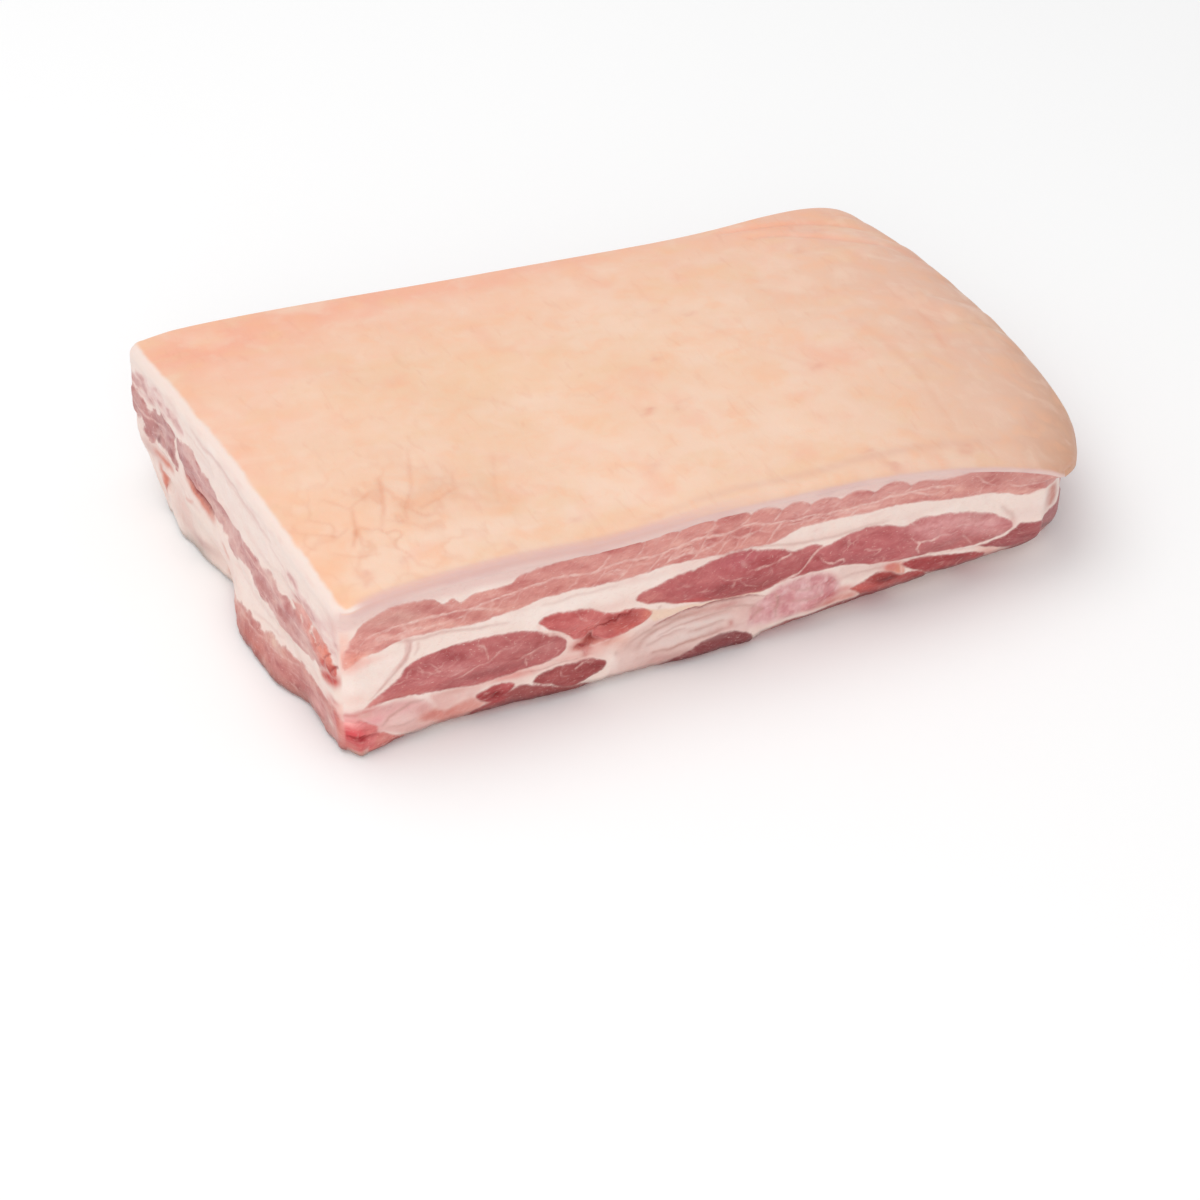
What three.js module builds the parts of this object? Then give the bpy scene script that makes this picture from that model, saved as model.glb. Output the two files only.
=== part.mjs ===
// A slab of raw pork belly, lying on its meat side with the rind up.
//
// The real thing is one piece of meat, cut square with a knife from the side of
// the pig: a tough rind on top, back fat under it, then bands of lean and fat.
// It is one closed body here. The rind rolls down over the right end and hangs
// over the meat there, and the bands stand out from the four cut sides or sink
// between each other.
//
// Millimetres, +Z up. X runs along the long front side, Y to the back.
// The origin is the middle of the underside.

import * as THREE from 'three';

// ---- driving sizes ---------------------------------------------------------

const WIDTH = 196;             // front to back
const THICKNESS = 60;          // underside to rind, in the middle
const RIND = 3;                // thickness of the skin
const OVERHANG = 7;            // how far the rind hangs over the meat at the right end
const COLUMNS = 42;            // grid steps along the length
const LINES = 28;              // grid steps along the width

// Levels of the grid rows on the sides, as shares of the local thickness.
const LEVELS = [0, 0.06, 0.14, 0.23, 0.32, 0.41, 0.5, 0.6, 0.7, 0.8, 0.89, 0.945, 1];

// Heights of the rind above the underside, along the front and the back edge: [x, height].
const FRONT_CREST = [[0, 58.5], [20, 61.5], [55, 62.5], [100, 60], [137, 61.5], [175, 60.5], [300, 58]];
const BACK_CREST = [[0, 55.2], [60, 55.6], [110, 55.4], [180, 55.6], [225, 54.6], [250, 54.6], [300, 52.4]];
const CROWN = 3;               // how much higher the rind lies halfway from front to back

// The rind starts to roll down at ROLL_START and ends at the right end: [y, x].
const ROLL_START = [[0, 165], [196, 240]];
const RIGHT_END = [[0, 278], [17, 290], [40, 300], [80, 305.5], [125, 305.5], [160, 302], [196, 291.5]];

// Height of the rim where the rolled down rind ends: [y, height].
const RIM = [[0, 37.5], [25, 34], [196, 34]];

// Shape of the roll, a superellipse: full at the shoulder, steep at the rim: [y, power].
const SHOULDER = [[0, 2.3], [60, 2.8], [196, 4]];
const STEEPNESS = [[0, 0.85], [25, 0.67], [60, 0.6], [196, 0.5]];

// The back edge runs a little askew, and its foot is cut back, most at the left end.
const BACK_EDGE = [[0, 199], [15, 201], [50, 199], [90, 195], [133, 190], [194, 184], [240, 185], [300, 190]];
const BACK_FOOT = [[0, 27], [60, 15], [120, 7], [300, 7]];
const BACK_FOOT_HEIGHT = 38;

// The left side: its top edge, and its foot with the lean that swells out of it: [y, x].
const LEFT_EDGE = [[0, -1], [107, -3], [196, -5.5]];
const LEFT_FOOT = [
  [0, -0.5], [24, -0.4], [36, -0.6], [44, -2.8], [52, -5.8], [62, -7], [78, -7.2], [96, -6.4],
  [108, -2.6], [117, 1], [135, -1.3], [150, -3.2], [168, -5], [184, -3.4], [196, -4],
];
const FOOT_HEIGHT = 20;

// Radius of the worn lower edge, along the front: [x, radius].
const FRONT_ROUND = [[0, 2], [9, 3], [20, 8], [50, 11], [110, 8], [150, 8], [158, 14], [200, 24], [250, 31],
  [277, 34]];
const LEFT_ROUND = 4;
const BACK_ROUND = 10;
const RIGHT_ROUND = 16;
const CORNER_ROUND = 6;        // upright corners
const RIND_ROUND = 3;          // upper edge all round

// Muscles, fat and clefts that stand out of a cut side (or sink in, below zero).
// at: place along the side, up: height, wide and high: half sizes, out: how far.
const FRONT_RELIEF = [
  { at: 2, up: 3, wide: 14, high: 8, out: 3.0 },          // corner nub
  { at: 140, up: 49, wide: 140, high: 7, out: -0.8 },     // upper lean, a little sunk
  { at: 48, up: 26, wide: 32, high: 8, out: 2.4 },        // lower lean, first muscle
  { at: 83, up: 32, wide: 13, high: 5, out: 2.0 },
  { at: 143, up: 32, wide: 34, high: 8, out: 2.4 },
  { at: 215, up: 27, wide: 32, high: 9, out: 2.2 },
  { at: 262, up: 18, wide: 9, high: 7, out: 1.2 },
  { at: 92, up: 24, wide: 9, high: 4, out: -5.0 },        // torn cleft
  { at: 20, up: 12, wide: 14, high: 7, out: 1.4 },        // cut cartilage
  { at: 172, up: 12, wide: 15, high: 8, out: 1.6 },
  { at: 128, up: 15, wide: 34, high: 5, out: -1.6 },      // loose membrane
  { at: 203, up: 14, wide: 16, high: 5, out: 1.2 },
];
const LEFT_RELIEF = [
  { at: 166, up: 37, wide: 26, high: 8, out: -2.0 },      // lean sunk below the back fat
  { at: 110, up: 32, wide: 34, high: 6, out: -2.4 },
  { at: 40, up: 38, wide: 34, high: 6, out: -1.8 },
  { at: 182, up: 24, wide: 14, high: 7, out: 1.6 },       // lobes of fat
  { at: 136, up: 21, wide: 22, high: 6, out: 0.8 },
  { at: 62, up: 25, wide: 34, high: 6, out: 1.8 },
  { at: 162, up: 15, wide: 8, high: 4, out: -4.0 },       // clefts
  { at: 118, up: 9, wide: 12, high: 7, out: -3.0 },
  { at: 5, up: 38, wide: 8, high: 9, out: -3.0 },
];
const BACK_RELIEF = [
  { at: 150, up: 46, wide: 130, high: 6, out: -0.8 },
  { at: 45, up: 30, wide: 30, high: 8, out: 2.0 },
  { at: 108, up: 27, wide: 26, high: 8, out: 2.2 },
  { at: 170, up: 30, wide: 30, high: 9, out: 2.2 },
  { at: 232, up: 26, wide: 26, high: 8, out: 2.0 },
  { at: 138, up: 20, wide: 8, high: 4, out: -3.0 },
  { at: 80, up: 12, wide: 18, high: 6, out: 1.4 },
  { at: 205, up: 12, wide: 16, high: 6, out: 1.4 },
];
const RIGHT_RELIEF = [
  { at: 30, up: 17, wide: 20, high: 7, out: 1.6 },
  { at: 72, up: 20, wide: 20, high: 7, out: 2.0 },
  { at: 120, up: 17, wide: 24, high: 7, out: 2.0 },
  { at: 163, up: 20, wide: 16, high: 7, out: 1.8 },
  { at: 97, up: 12, wide: 7, high: 4, out: -2.5 },
];

// ---- helpers ---------------------------------------------------------------

const mix = (from, to, share) => from + (to - from) * share;
const clamp = THREE.MathUtils.clamp;

// A smooth curve through stations [place, value]: a cubic between neighbours, whose slope at
// a station is the slope from the station before to the one after.
function along(stations, place) {
  const last = stations.length - 1;
  let i = 0;
  while (i < last - 1 && place > stations[i + 1][0]) i += 1;
  const slope = (k) => {
    const before = stations[Math.max(k - 1, 0)];
    const after = stations[Math.min(k + 1, last)];
    return (after[1] - before[1]) / (after[0] - before[0]);
  };
  const [x0, v0] = stations[i];
  const [x1, v1] = stations[i + 1];
  const span = x1 - x0;
  const t = clamp((place - x0) / span, 0, 1);
  return v0 * (1 + 2 * t) * (1 - t) ** 2 + slope(i) * span * t * (1 - t) ** 2
    + v1 * t * t * (3 - 2 * t) - slope(i + 1) * span * t * t * (1 - t);
}

// How far a rounded edge of this radius draws a face in, at a distance from the edge.
function edgeInset(distance, radius) {
  return 0.3 * radius * (1 - clamp(distance / radius, 0, 1)) ** 3;
}

// Sum of all the swellings and hollows of a side at one place: each is a smooth dome.
function relief(shapes, at, up) {
  let total = 0;
  for (const shape of shapes) {
    const away = ((at - shape.at) / shape.wide) ** 2 + ((up - shape.up) / shape.high) ** 2;
    total += shape.out * Math.max(0, 1 - away) ** 1.5;
  }
  return total;
}

// ---- the form --------------------------------------------------------------

// Height of the rind. Past ROLL_START it falls to the rim on a quarter of a superellipse.
function rindHeight(x, y) {
  const share = clamp(y / WIDTH, 0, 1);
  const level = mix(along(FRONT_CREST, x), along(BACK_CREST, x), share)
    + CROWN * Math.sin(Math.PI * share);
  const start = along(ROLL_START, y);
  const roll = clamp((x - start) / (along(RIGHT_END, y) - start), 0, 1);
  const rim = along(RIM, y);
  return rim + (level - rim) * (1 - roll ** along(SHOULDER, y)) ** along(STEEPNESS, y);
}

// Maps a point of the unit box (shares along length, width and height) onto the slab.
function slabPoint(a, b, c) {
  const y0 = b * WIDTH;
  const z0 = c * THICKNESS;
  const foot = Math.min(1, z0 / FOOT_HEIGHT);
  const left = mix(along(LEFT_FOOT, y0), along(LEFT_EDGE, y0), foot * foot * (3 - 2 * foot));
  const tucked = clamp((1 - c) * along(RIM, y0) / RIND - 1, 0, 1) * OVERHANG;
  const right = along(RIGHT_END, y0) - tucked;
  let x = mix(left, right, a);

  const undercut = along(BACK_FOOT, x) * (1 - clamp(z0 / BACK_FOOT_HEIGHT, 0, 1)) ** 1.5;
  let y = mix(0, along(BACK_EDGE, x) - undercut, b);

  const toLeft = x - left;
  const toRight = right - x;
  const toBack = along(BACK_EDGE, x) - undercut - y;
  const frontRound = along(FRONT_ROUND, x);
  const lift = edgeInset(y, frontRound) + edgeInset(toBack, BACK_ROUND)
    + edgeInset(toLeft, LEFT_ROUND) + edgeInset(toRight, RIGHT_ROUND);
  const nearest = Math.min(y, toBack, toLeft, toRight);
  const top = rindHeight(x, y) - edgeInset(nearest, RIND_ROUND);
  const z = mix(lift, top, c);

  // Each side is drawn in at its upper, lower and upright edges, and carries its relief.
  const under = top - z;
  const corner = (distance) => edgeInset(distance, CORNER_ROUND);
  const rim = edgeInset(under, RIND_ROUND);
  const covered = clamp((under - RIND) / RIND, 0, 1);
  if (b === 0) {
    y += edgeInset(z, frontRound) + rim + corner(toLeft) + corner(toRight);
    y -= relief(FRONT_RELIEF, x, z) * covered;
  }
  if (b === 1) {
    y -= edgeInset(z, BACK_ROUND) + rim + corner(toLeft) + corner(toRight);
    y += relief(BACK_RELIEF, x, z) * covered;
  }
  if (a === 0) {
    x += edgeInset(z, LEFT_ROUND) + rim + corner(y0) + corner(WIDTH - y0);
    x -= relief(LEFT_RELIEF, y, z) * covered;
  }
  if (a === 1) {
    x -= edgeInset(z, RIGHT_ROUND) + corner(y0) + corner(WIDTH - y0);
    x += relief(RIGHT_RELIEF, y, z) * covered;
  }
  return [x, y, z];
}

// Shares from 0 to 1 in even steps, drawn together towards both ends.
function shares(count) {
  const list = [];
  for (let i = 0; i <= count; i += 1) {
    const t = i / count;
    list.push(t - 0.09 * Math.sin(2 * Math.PI * t));
  }
  return list;
}

// The outside of a box grid, wrapped onto the slab: shared corners make one closed skin.
function slabGeometry() {
  const grid = [shares(COLUMNS), shares(LINES), LEVELS];
  const steps = grid.map((list) => list.length - 1);
  const points = [];
  const numbers = new Map();
  const corner = (place) => {
    const key = place.join();
    if (!numbers.has(key)) {
      numbers.set(key, numbers.size);
      points.push(...slabPoint(...place.map((k, axis) => grid[axis][k])));
    }
    return numbers.get(key);
  };
  const faces = [];
  for (let axis = 0; axis < 3; axis += 1) {
    const [across, upward] = [(axis + 1) % 3, (axis + 2) % 3];
    for (const end of [0, steps[axis]]) {
      for (let i = 0; i < steps[across]; i += 1) {
        for (let j = 0; j < steps[upward]; j += 1) {
          const quad = [[0, 0], [1, 0], [1, 1], [0, 1]].map(([di, dj]) => {
            const place = [0, 0, 0];
            place[axis] = end;
            place[across] = i + di;
            place[upward] = j + dj;
            return corner(place);
          });
          if (end === 0) quad.reverse();
          faces.push(quad[0], quad[1], quad[2], quad[0], quad[2], quad[3]);
        }
      }
    }
  }
  const geometry = new THREE.BufferGeometry();
  geometry.setAttribute('position', new THREE.Float32BufferAttribute(points, 3));
  geometry.setIndex(faces);
  geometry.computeBoundingBox();
  const box = geometry.boundingBox;
  geometry.translate(-(box.min.x + box.max.x) / 2, -(box.min.y + box.max.y) / 2, -box.min.z);
  geometry.computeVertexNormals();
  return geometry;
}

// ---- the part --------------------------------------------------------------

const meat = new THREE.MeshStandardMaterial({
  color: new THREE.Color('#e3b69e'),
  roughness: 0.45,
  metalness: 0,
});

const slab = new THREE.Mesh(slabGeometry(), meat);
slab.name = 'pork_belly';

const porkBelly = new THREE.Group();
porkBelly.add(slab);

export default porkBelly;
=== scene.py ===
import bpy
import numpy as np
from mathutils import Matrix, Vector


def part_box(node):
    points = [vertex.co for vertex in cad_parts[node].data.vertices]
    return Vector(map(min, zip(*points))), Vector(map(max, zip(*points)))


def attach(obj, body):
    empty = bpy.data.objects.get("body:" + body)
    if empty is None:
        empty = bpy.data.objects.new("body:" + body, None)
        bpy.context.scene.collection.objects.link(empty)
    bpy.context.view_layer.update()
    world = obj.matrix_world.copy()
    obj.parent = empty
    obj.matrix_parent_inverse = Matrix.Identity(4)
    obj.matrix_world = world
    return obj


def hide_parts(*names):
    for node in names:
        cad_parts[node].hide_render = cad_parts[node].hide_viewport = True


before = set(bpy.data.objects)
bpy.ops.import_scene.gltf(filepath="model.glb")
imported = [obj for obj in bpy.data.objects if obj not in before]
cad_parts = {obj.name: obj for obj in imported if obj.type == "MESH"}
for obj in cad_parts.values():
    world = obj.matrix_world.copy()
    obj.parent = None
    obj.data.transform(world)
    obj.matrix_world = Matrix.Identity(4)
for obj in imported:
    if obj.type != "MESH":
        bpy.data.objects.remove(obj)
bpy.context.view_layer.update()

# ---- The meat -----------------------------------------------------------------
# The body of the slab: back fat, two bands of lean and the rib side, all one piece
# of raw belly. A knife has cut it square, so the bands show on its four sides.
# The rind is left off here; it has its own section.

# Sizes are millimetres from the left front corner of the underside: x to the right, y to the
# back, z up. LEFT_REACH and FRONT_REACH are how far the meat swells out past that corner.
LEFT_REACH = 6.81
FRONT_REACH = 2.68
low_corner = np.array(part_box("pork_belly")[0])
corner = low_corner + np.array([LEFT_REACH, FRONT_REACH, 0]) * 0.001

WIDTH = 196.0
LENGTH = 300.0
THICKNESS = 60.0
RIND = 3.0
OVERHANG = 7.0

# Heights of the rind along the front and the back: [x, height].
FRONT_CREST = [[0, 58.5], [20, 61.5], [55, 62.5], [100, 60], [137, 61.5], [175, 60.5], [300, 58]]
BACK_CREST = [[0, 55.2], [60, 55.6], [110, 55.4], [180, 55.6], [225, 54.6], [250, 54.6], [300, 52.4]]
CROWN = 3.0

# The roll of the rind over the right end: where it starts, ends and how full it is: [y, value].
ROLL_START = [[0, 165], [196, 240]]
RIGHT_END = [[0, 278], [17, 290], [40, 300], [80, 305.5], [125, 305.5], [160, 302], [196, 291.5]]
SHOULDER = [[0, 2.3], [60, 2.8], [196, 4]]
STEEPNESS = [[0, 0.85], [25, 0.67], [60, 0.6], [196, 0.5]]

# Height of the rim where the rolled down rind ends: [y, height].
RIM = [[0, 37.5], [25, 34], [196, 34]]

# The back edge and the undercut of its foot: [x, value].
BACK_EDGE = [[0, 199], [15, 201], [50, 199], [90, 195], [133, 190], [194, 184], [240, 185], [300, 190]]
BACK_FOOT = [[0, 27], [60, 15], [120, 7], [300, 7]]
BACK_FOOT_HEIGHT = 38.0

# The left side: its upper edge and its foot: [y, x].
LEFT_EDGE = [[0, -1], [107, -3], [196, -5.5]]
LEFT_FOOT = [
    [0, -0.5], [24, -0.4], [36, -0.6], [44, -2.8], [52, -5.8], [62, -7], [78, -7.2], [96, -6.4],
    [108, -2.6], [117, 1], [135, -1.3], [150, -3.2], [168, -5], [184, -3.4], [196, -4]
]
FOOT_HEIGHT = 20.0

# Radii of the rounded edges: [x, radius] along the front, plain values elsewhere.
FRONT_ROUND = [
    [0, 2], [9, 3], [20, 8], [50, 11], [110, 8], [150, 8], [158, 14], [200, 24], [250, 31], [277, 34]
]
LEFT_ROUND = 4.0
BACK_ROUND = 10.0
RIGHT_ROUND = 16.0
CORNER_ROUND = 6.0
RIND_ROUND = 3.0


def along(stations, place):
    """A smooth curve through stations [place, value]: cubic pieces whose slope at each station
    is the slope from the station before it to the one after."""
    spots, values = np.array(stations, float).T
    slopes = np.empty_like(values)
    slopes[1:-1] = (values[2:] - values[:-2]) / (spots[2:] - spots[:-2])
    slopes[0] = (values[1] - values[0]) / (spots[1] - spots[0])
    slopes[-1] = (values[-1] - values[-2]) / (spots[-1] - spots[-2])
    i = np.clip(np.searchsorted(spots, place, side="right") - 1, 0, len(spots) - 2)
    span = spots[i + 1] - spots[i]
    t = np.clip((place - spots[i]) / span, 0, 1)
    return (values[i] * (1 + 2 * t) * (1 - t) ** 2 + slopes[i] * span * t * (1 - t) ** 2
            + values[i + 1] * t * t * (3 - 2 * t) - slopes[i + 1] * span * t * t * (1 - t))


def mix(first, second, share):
    """first at share 0, second at share 1, straight between."""
    return first + (second - first) * share


def smooth(value, start, end):
    """0 before start, 1 after end, and 3t^2 - 2t^3 between."""
    t = np.clip((value - start) / (end - start), 0, 1)
    return t * t * (3 - 2 * t)


def edge_inset(distance, radius):
    """How far a rounded edge draws a face in: 0.3 r (1 - d/r)^3 up to one radius away."""
    return 0.3 * radius * (1 - np.clip(distance / radius, 0, 1)) ** 3


def drawn_in(distance, inset):
    """How far a place is drawn in when the edge nearby is: all of the inset at the edge, less
    further in as 1 - (3t^2 - 2t^3), nothing past 6 mm and two insets."""
    return inset * (1 - smooth(distance, 0, 6 + 2 * inset))


def rind_height(x, y):
    """Crest height mixed from front to back with a sine crown; past the start of the roll it
    falls to the rim as (1 - roll^shoulder)^steepness."""
    share = np.clip(y / WIDTH, 0, 1)
    level = mix(along(FRONT_CREST, x), along(BACK_CREST, x), share) + CROWN * np.sin(np.pi * share)
    start = along(ROLL_START, y)
    roll = np.clip((x - start) / (along(RIGHT_END, y) - start), 0, 1)
    rim = along(RIM, y)
    return rim + (level - rim) * (1 - roll ** along(SHOULDER, y)) ** along(STEEPNESS, y)


def slab_point(a, b, c):
    """The unit box laid onto the slab: x is mixed from the left to the right side by a, y from
    front to back by b, z from the underside to the rind by c; every edge is rounded."""
    y0 = b * WIDTH
    z0 = c * THICKNESS
    left = mix(along(LEFT_FOOT, y0), along(LEFT_EDGE, y0), smooth(z0, 0, FOOT_HEIGHT))
    tucked = np.clip((1 - c) * along(RIM, y0) / RIND - 1, 0, 1) * OVERHANG
    right = along(RIGHT_END, y0) - tucked
    x = mix(left, right, a)
    undercut = along(BACK_FOOT, x) * (1 - np.clip(z0 / BACK_FOOT_HEIGHT, 0, 1)) ** 1.5
    y = (along(BACK_EDGE, x) - undercut) * b
    to_left = x - left
    to_right = right - x
    to_back = along(BACK_EDGE, x) - undercut - y
    front_round = along(FRONT_ROUND, x)
    lift = (edge_inset(y, front_round) + edge_inset(to_back, BACK_ROUND)
            + edge_inset(to_left, LEFT_ROUND) + edge_inset(to_right, RIGHT_ROUND))
    nearest = np.minimum(np.minimum(y, to_back), np.minimum(to_left, to_right))
    top = rind_height(x, y) - edge_inset(nearest, RIND_ROUND)
    z = mix(lift, top, c)
    rim = edge_inset(top - z, RIND_ROUND)
    upright_x = edge_inset(to_left, CORNER_ROUND) + edge_inset(to_right, CORNER_ROUND)
    upright_y = edge_inset(y0, CORNER_ROUND) + edge_inset(WIDTH - y0, CORNER_ROUND)
    inward_x = (drawn_in(to_left, edge_inset(z, LEFT_ROUND) + rim + upright_y)
                - drawn_in(to_right, edge_inset(z, RIGHT_ROUND) + upright_y))
    inward_y = (drawn_in(y, edge_inset(z, front_round) + rim + upright_x)
                - drawn_in(to_back, edge_inset(z, BACK_ROUND) + rim + upright_x))
    return x + inward_x, y + inward_y, z, top


# Swellings and hollows of the cut sides, as smooth domes: place along the side, height,
# half width, half height, and how far it stands out (or sinks in, below zero).
FRONT_DOMES = [
    (2, 3, 14, 8, 3.0), (140, 49, 140, 7, -0.8), (48, 26, 32, 8, 2.0), (83, 32, 13, 5, 1.6),
    (143, 32, 34, 8, 2.0), (215, 27, 32, 9, 2.0), (262, 18, 9, 7, 1.2), (92, 24, 9, 4, -2.5),
    (20, 12, 14, 7, 1.4), (172, 12, 15, 8, 1.6), (128, 15, 34, 5, -1.6), (203, 14, 16, 5, 1.2)
]
LEFT_DOMES = [
    (166, 37, 26, 8, -2.0), (110, 32, 34, 6, -2.4), (40, 38, 34, 6, -1.8), (182, 24, 14, 7, 1.6),
    (136, 21, 22, 6, 0.8), (62, 25, 34, 6, 1.8), (162, 15, 8, 4, -2.5), (118, 9, 12, 7, -3.0),
    (5, 38, 8, 9, -1.5)
]
BACK_DOMES = [
    (150, 46, 130, 6, -0.8), (45, 30, 30, 8, 2.0), (108, 27, 26, 8, 2.2), (170, 30, 30, 9, 2.2),
    (232, 26, 26, 8, 2.0), (138, 20, 8, 4, -3.0), (80, 12, 18, 6, 1.4), (205, 12, 16, 6, 1.4)
]
RIGHT_DOMES = [
    (30, 17, 20, 7, 1.6), (72, 20, 20, 7, 2.0), (120, 17, 24, 7, 2.0), (163, 20, 16, 7, 1.8),
    (97, 12, 7, 4, -2.5)
]


def domes(shapes, place, height):
    """Sum of out * (1 - distance^2)^1.5 over the ellipses that a point lies in."""
    total = np.zeros_like(place)
    for at, up, wide, high, out in shapes:
        away = ((place - at) / wide) ** 2 + ((height - up) / high) ** 2
        total += out * np.maximum(0, 1 - away) ** 1.5
    return total


def closed_curve(points, steps=6):
    """A closed smooth line: between two points a Catmull-Rom cubic of the four nearest."""
    p1 = np.array(points, float)[:, None]
    p0, p2, p3 = np.roll(p1, 1, 0), np.roll(p1, -1, 0), np.roll(p1, -2, 0)
    t = (np.arange(steps) / steps)[None, :, None]
    curve = 0.5 * (2 * p1 + (p2 - p0) * t + (2 * p0 - 5 * p1 + 4 * p2 - p3) * t ** 2
                   + (3 * p1 - p0 - 3 * p2 + p3) * t ** 3)
    return curve.reshape(-1, 2)


def to_segments(points, starts, ends):
    """Shortest distance from each point to the straight segments, and which share of all the
    segments lies before that nearest place."""
    run = ends - starts
    gap = points[:, None] - starts
    t = np.clip((gap * run).sum(2) / np.maximum((run * run).sum(1), 1e-9), 0, 1)
    distance = np.sqrt(((gap - t[..., None] * run) ** 2).sum(2))
    nearest = distance.argmin(1)
    every = np.arange(len(points))
    return distance[every, nearest], (nearest + t[every, nearest]) / len(starts)


FAR = 5.0                      # distances to outlines and lines are held at this


def nearby(place, height, line):
    """Which points lie within FAR of the box round a line, and those points as pairs."""
    low, high = line.min(0) - FAR, line.max(0) + FAR
    near = (place > low[0]) & (place < high[0]) & (height > low[1]) & (height < high[1])
    return near, np.stack([place[near], height[near]], 1)


def inside_depth(place, height, outline):
    """Signed distance to a closed outline, above zero inside it. A point is inside if a line from
    it to the right crosses the outline an odd number of times."""
    curve = closed_curve(outline)
    depth = np.full(place.shape, -FAR)
    near, points = nearby(place, height, curve)
    if len(points):
        starts, ends = curve, np.roll(curve, -1, 0)
        distance = to_segments(points, starts, ends)[0]
        x, z = points[:, :1], points[:, 1:]
        spans = (starts[:, 1] > z) != (ends[:, 1] > z)
        rise = np.where(ends[:, 1] == starts[:, 1], 1e-9, ends[:, 1] - starts[:, 1])
        crossing = starts[:, 0] + (z - starts[:, 1]) / rise * (ends[:, 0] - starts[:, 0])
        inside = (spans & (crossing > x)).sum(1) % 2 == 1
        depth[near] = np.maximum(np.where(inside, distance, -distance), -FAR)
    return depth


def line_mask(place, height, routes, half=0.6):
    """Soft lines: strength * exp(-(distance / half width)^2) of each open route, weaker towards its
    two ends as 0.3 + 0.7 (4 s (1 - s))^0.4 at its share s, and the strongest one wins. A route is
    (strength, points) or (strength, points, own half width)."""
    mask = np.zeros(place.shape)
    for strength, points, *own in routes:
        line = np.array(points, float)
        near, spots = nearby(place, height, line)
        if len(spots):
            distance, share = to_segments(spots, line[:-1], line[1:])
            taper = 0.3 + 0.7 * (4 * share * (1 - share)) ** 0.4
            reach = own[0] if own else half
            mask[near] = np.maximum(mask[near], strength * taper * np.exp(-(distance / reach) ** 2))
    return mask


def unevenness(u, v, size, seed):
    """Smooth random waves from -1 to 1: random values on a square grid of this size, mixed
    between its corners by 3t^2 - 2t^3."""
    dice = np.random.default_rng(seed).uniform(-1, 1, (64, 64))
    gu, gv = u / size, v / size
    iu, iv = np.floor(gu).astype(int), np.floor(gv).astype(int)
    su, sv = smooth(gu - iu, 0, 1), smooth(gv - iv, 0, 1)
    near_row = mix(dice[iu % 64, iv % 64], dice[(iu + 1) % 64, iv % 64], su)
    far_row = mix(dice[iu % 64, (iv + 1) % 64], dice[(iu + 1) % 64, (iv + 1) % 64], su)
    return mix(near_row, far_row, sv)


def fractal(u, v, size, octaves, seed):
    """Sum of unevenness over ever finer grids, each half the size and 0.55 the strength of the
    one before."""
    total = np.zeros(np.shape(u))
    for step in range(octaves):
        total = total + 0.55 ** step * unevenness(u, v, size * 0.5 ** step, seed + step)
    return total


SHEEN = 0.016                  # the pale light that the wet surface adds under soft lamps


def tint(colour):
    """A plain colour, as it should look from 0 to 255, turned into linear light less the sheen. Colours
    that are linear already, such as one for each point, are left as they are."""
    if not isinstance(colour, tuple):
        return colour
    screen = np.array(colour) / 255
    linear = np.where(screen <= 0.04045, screen / 12.92, ((screen + 0.055) / 1.055) ** 2.4)
    return np.clip(linear - SHEEN, 0.004, 1)


def evenly(colour, count):
    """A field of colours: this one for each of so many points."""
    return np.tile(tint(colour), (count, 1))


def lay(under, over, share):
    """Lays a colour over a field of colours: under + (over - under) * share, point by point."""
    return under + (tint(over) - under) * np.clip(share, 0, 1)[:, None]


def spot(place, height, at, up, wide, high):
    """A soft oval: exp(-(dx / wide)^2 - (dz / high)^2)."""
    return np.exp(-((place - at) / wide) ** 2 - ((height - up) / high) ** 2)


# Colours of the tissues, each as it should look on a screen: red, green, blue from 0 to 255.
FAT = (242, 221, 211)
FAT_WHITE = (246, 230, 222)
FAT_ROSY = (237, 207, 198)
FAT_BAND = (231, 199, 191)
FAT_LILAC = (222, 184, 179)
PEACH_FAT = (238, 158, 142)
ORANGE = (223, 160, 149)
SALMON = (216, 148, 139)
ROSE = (211, 145, 137)
MAUVE = (209, 152, 142)
RED = (181, 95, 96)
RED_DEEP = (167, 88, 90)
RED_PALE = (214, 145, 141)
CHERRY = (209, 116, 112)
RAW = (172, 75, 76)
CLOT = (126, 32, 35)
BROWN = (138, 70, 72)
GRISTLE = (227, 185, 179)
LAVENDER = (232, 170, 170)
SPONGE = (217, 160, 161)
MAGENTA = (194, 100, 106)
MEMBRANE = (229, 198, 190)
# painted shade for the folds and creases of the front, a mauve grey
FOLD_SHADE_MAUVE = (192, 144, 134)
GREY = (176, 156, 146)
# partly painted shade: the red of the strip of lean along the lower edge, where the underside turns away
# from the light
STRIP_RED = (178, 116, 114)
SPONGE_DARK = (198, 124, 130)
SPONGE_PALE = (236, 196, 196)
MOTTLE_PALE = (228, 188, 182)
MOTTLE_DARK = (202, 144, 140)
STREAK = (222, 186, 178)
ORANGE_RIM = (212, 128, 110)
ORANGE_LEAN = (190, 92, 78)
HOLLOW_RED = (196, 62, 54)

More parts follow.
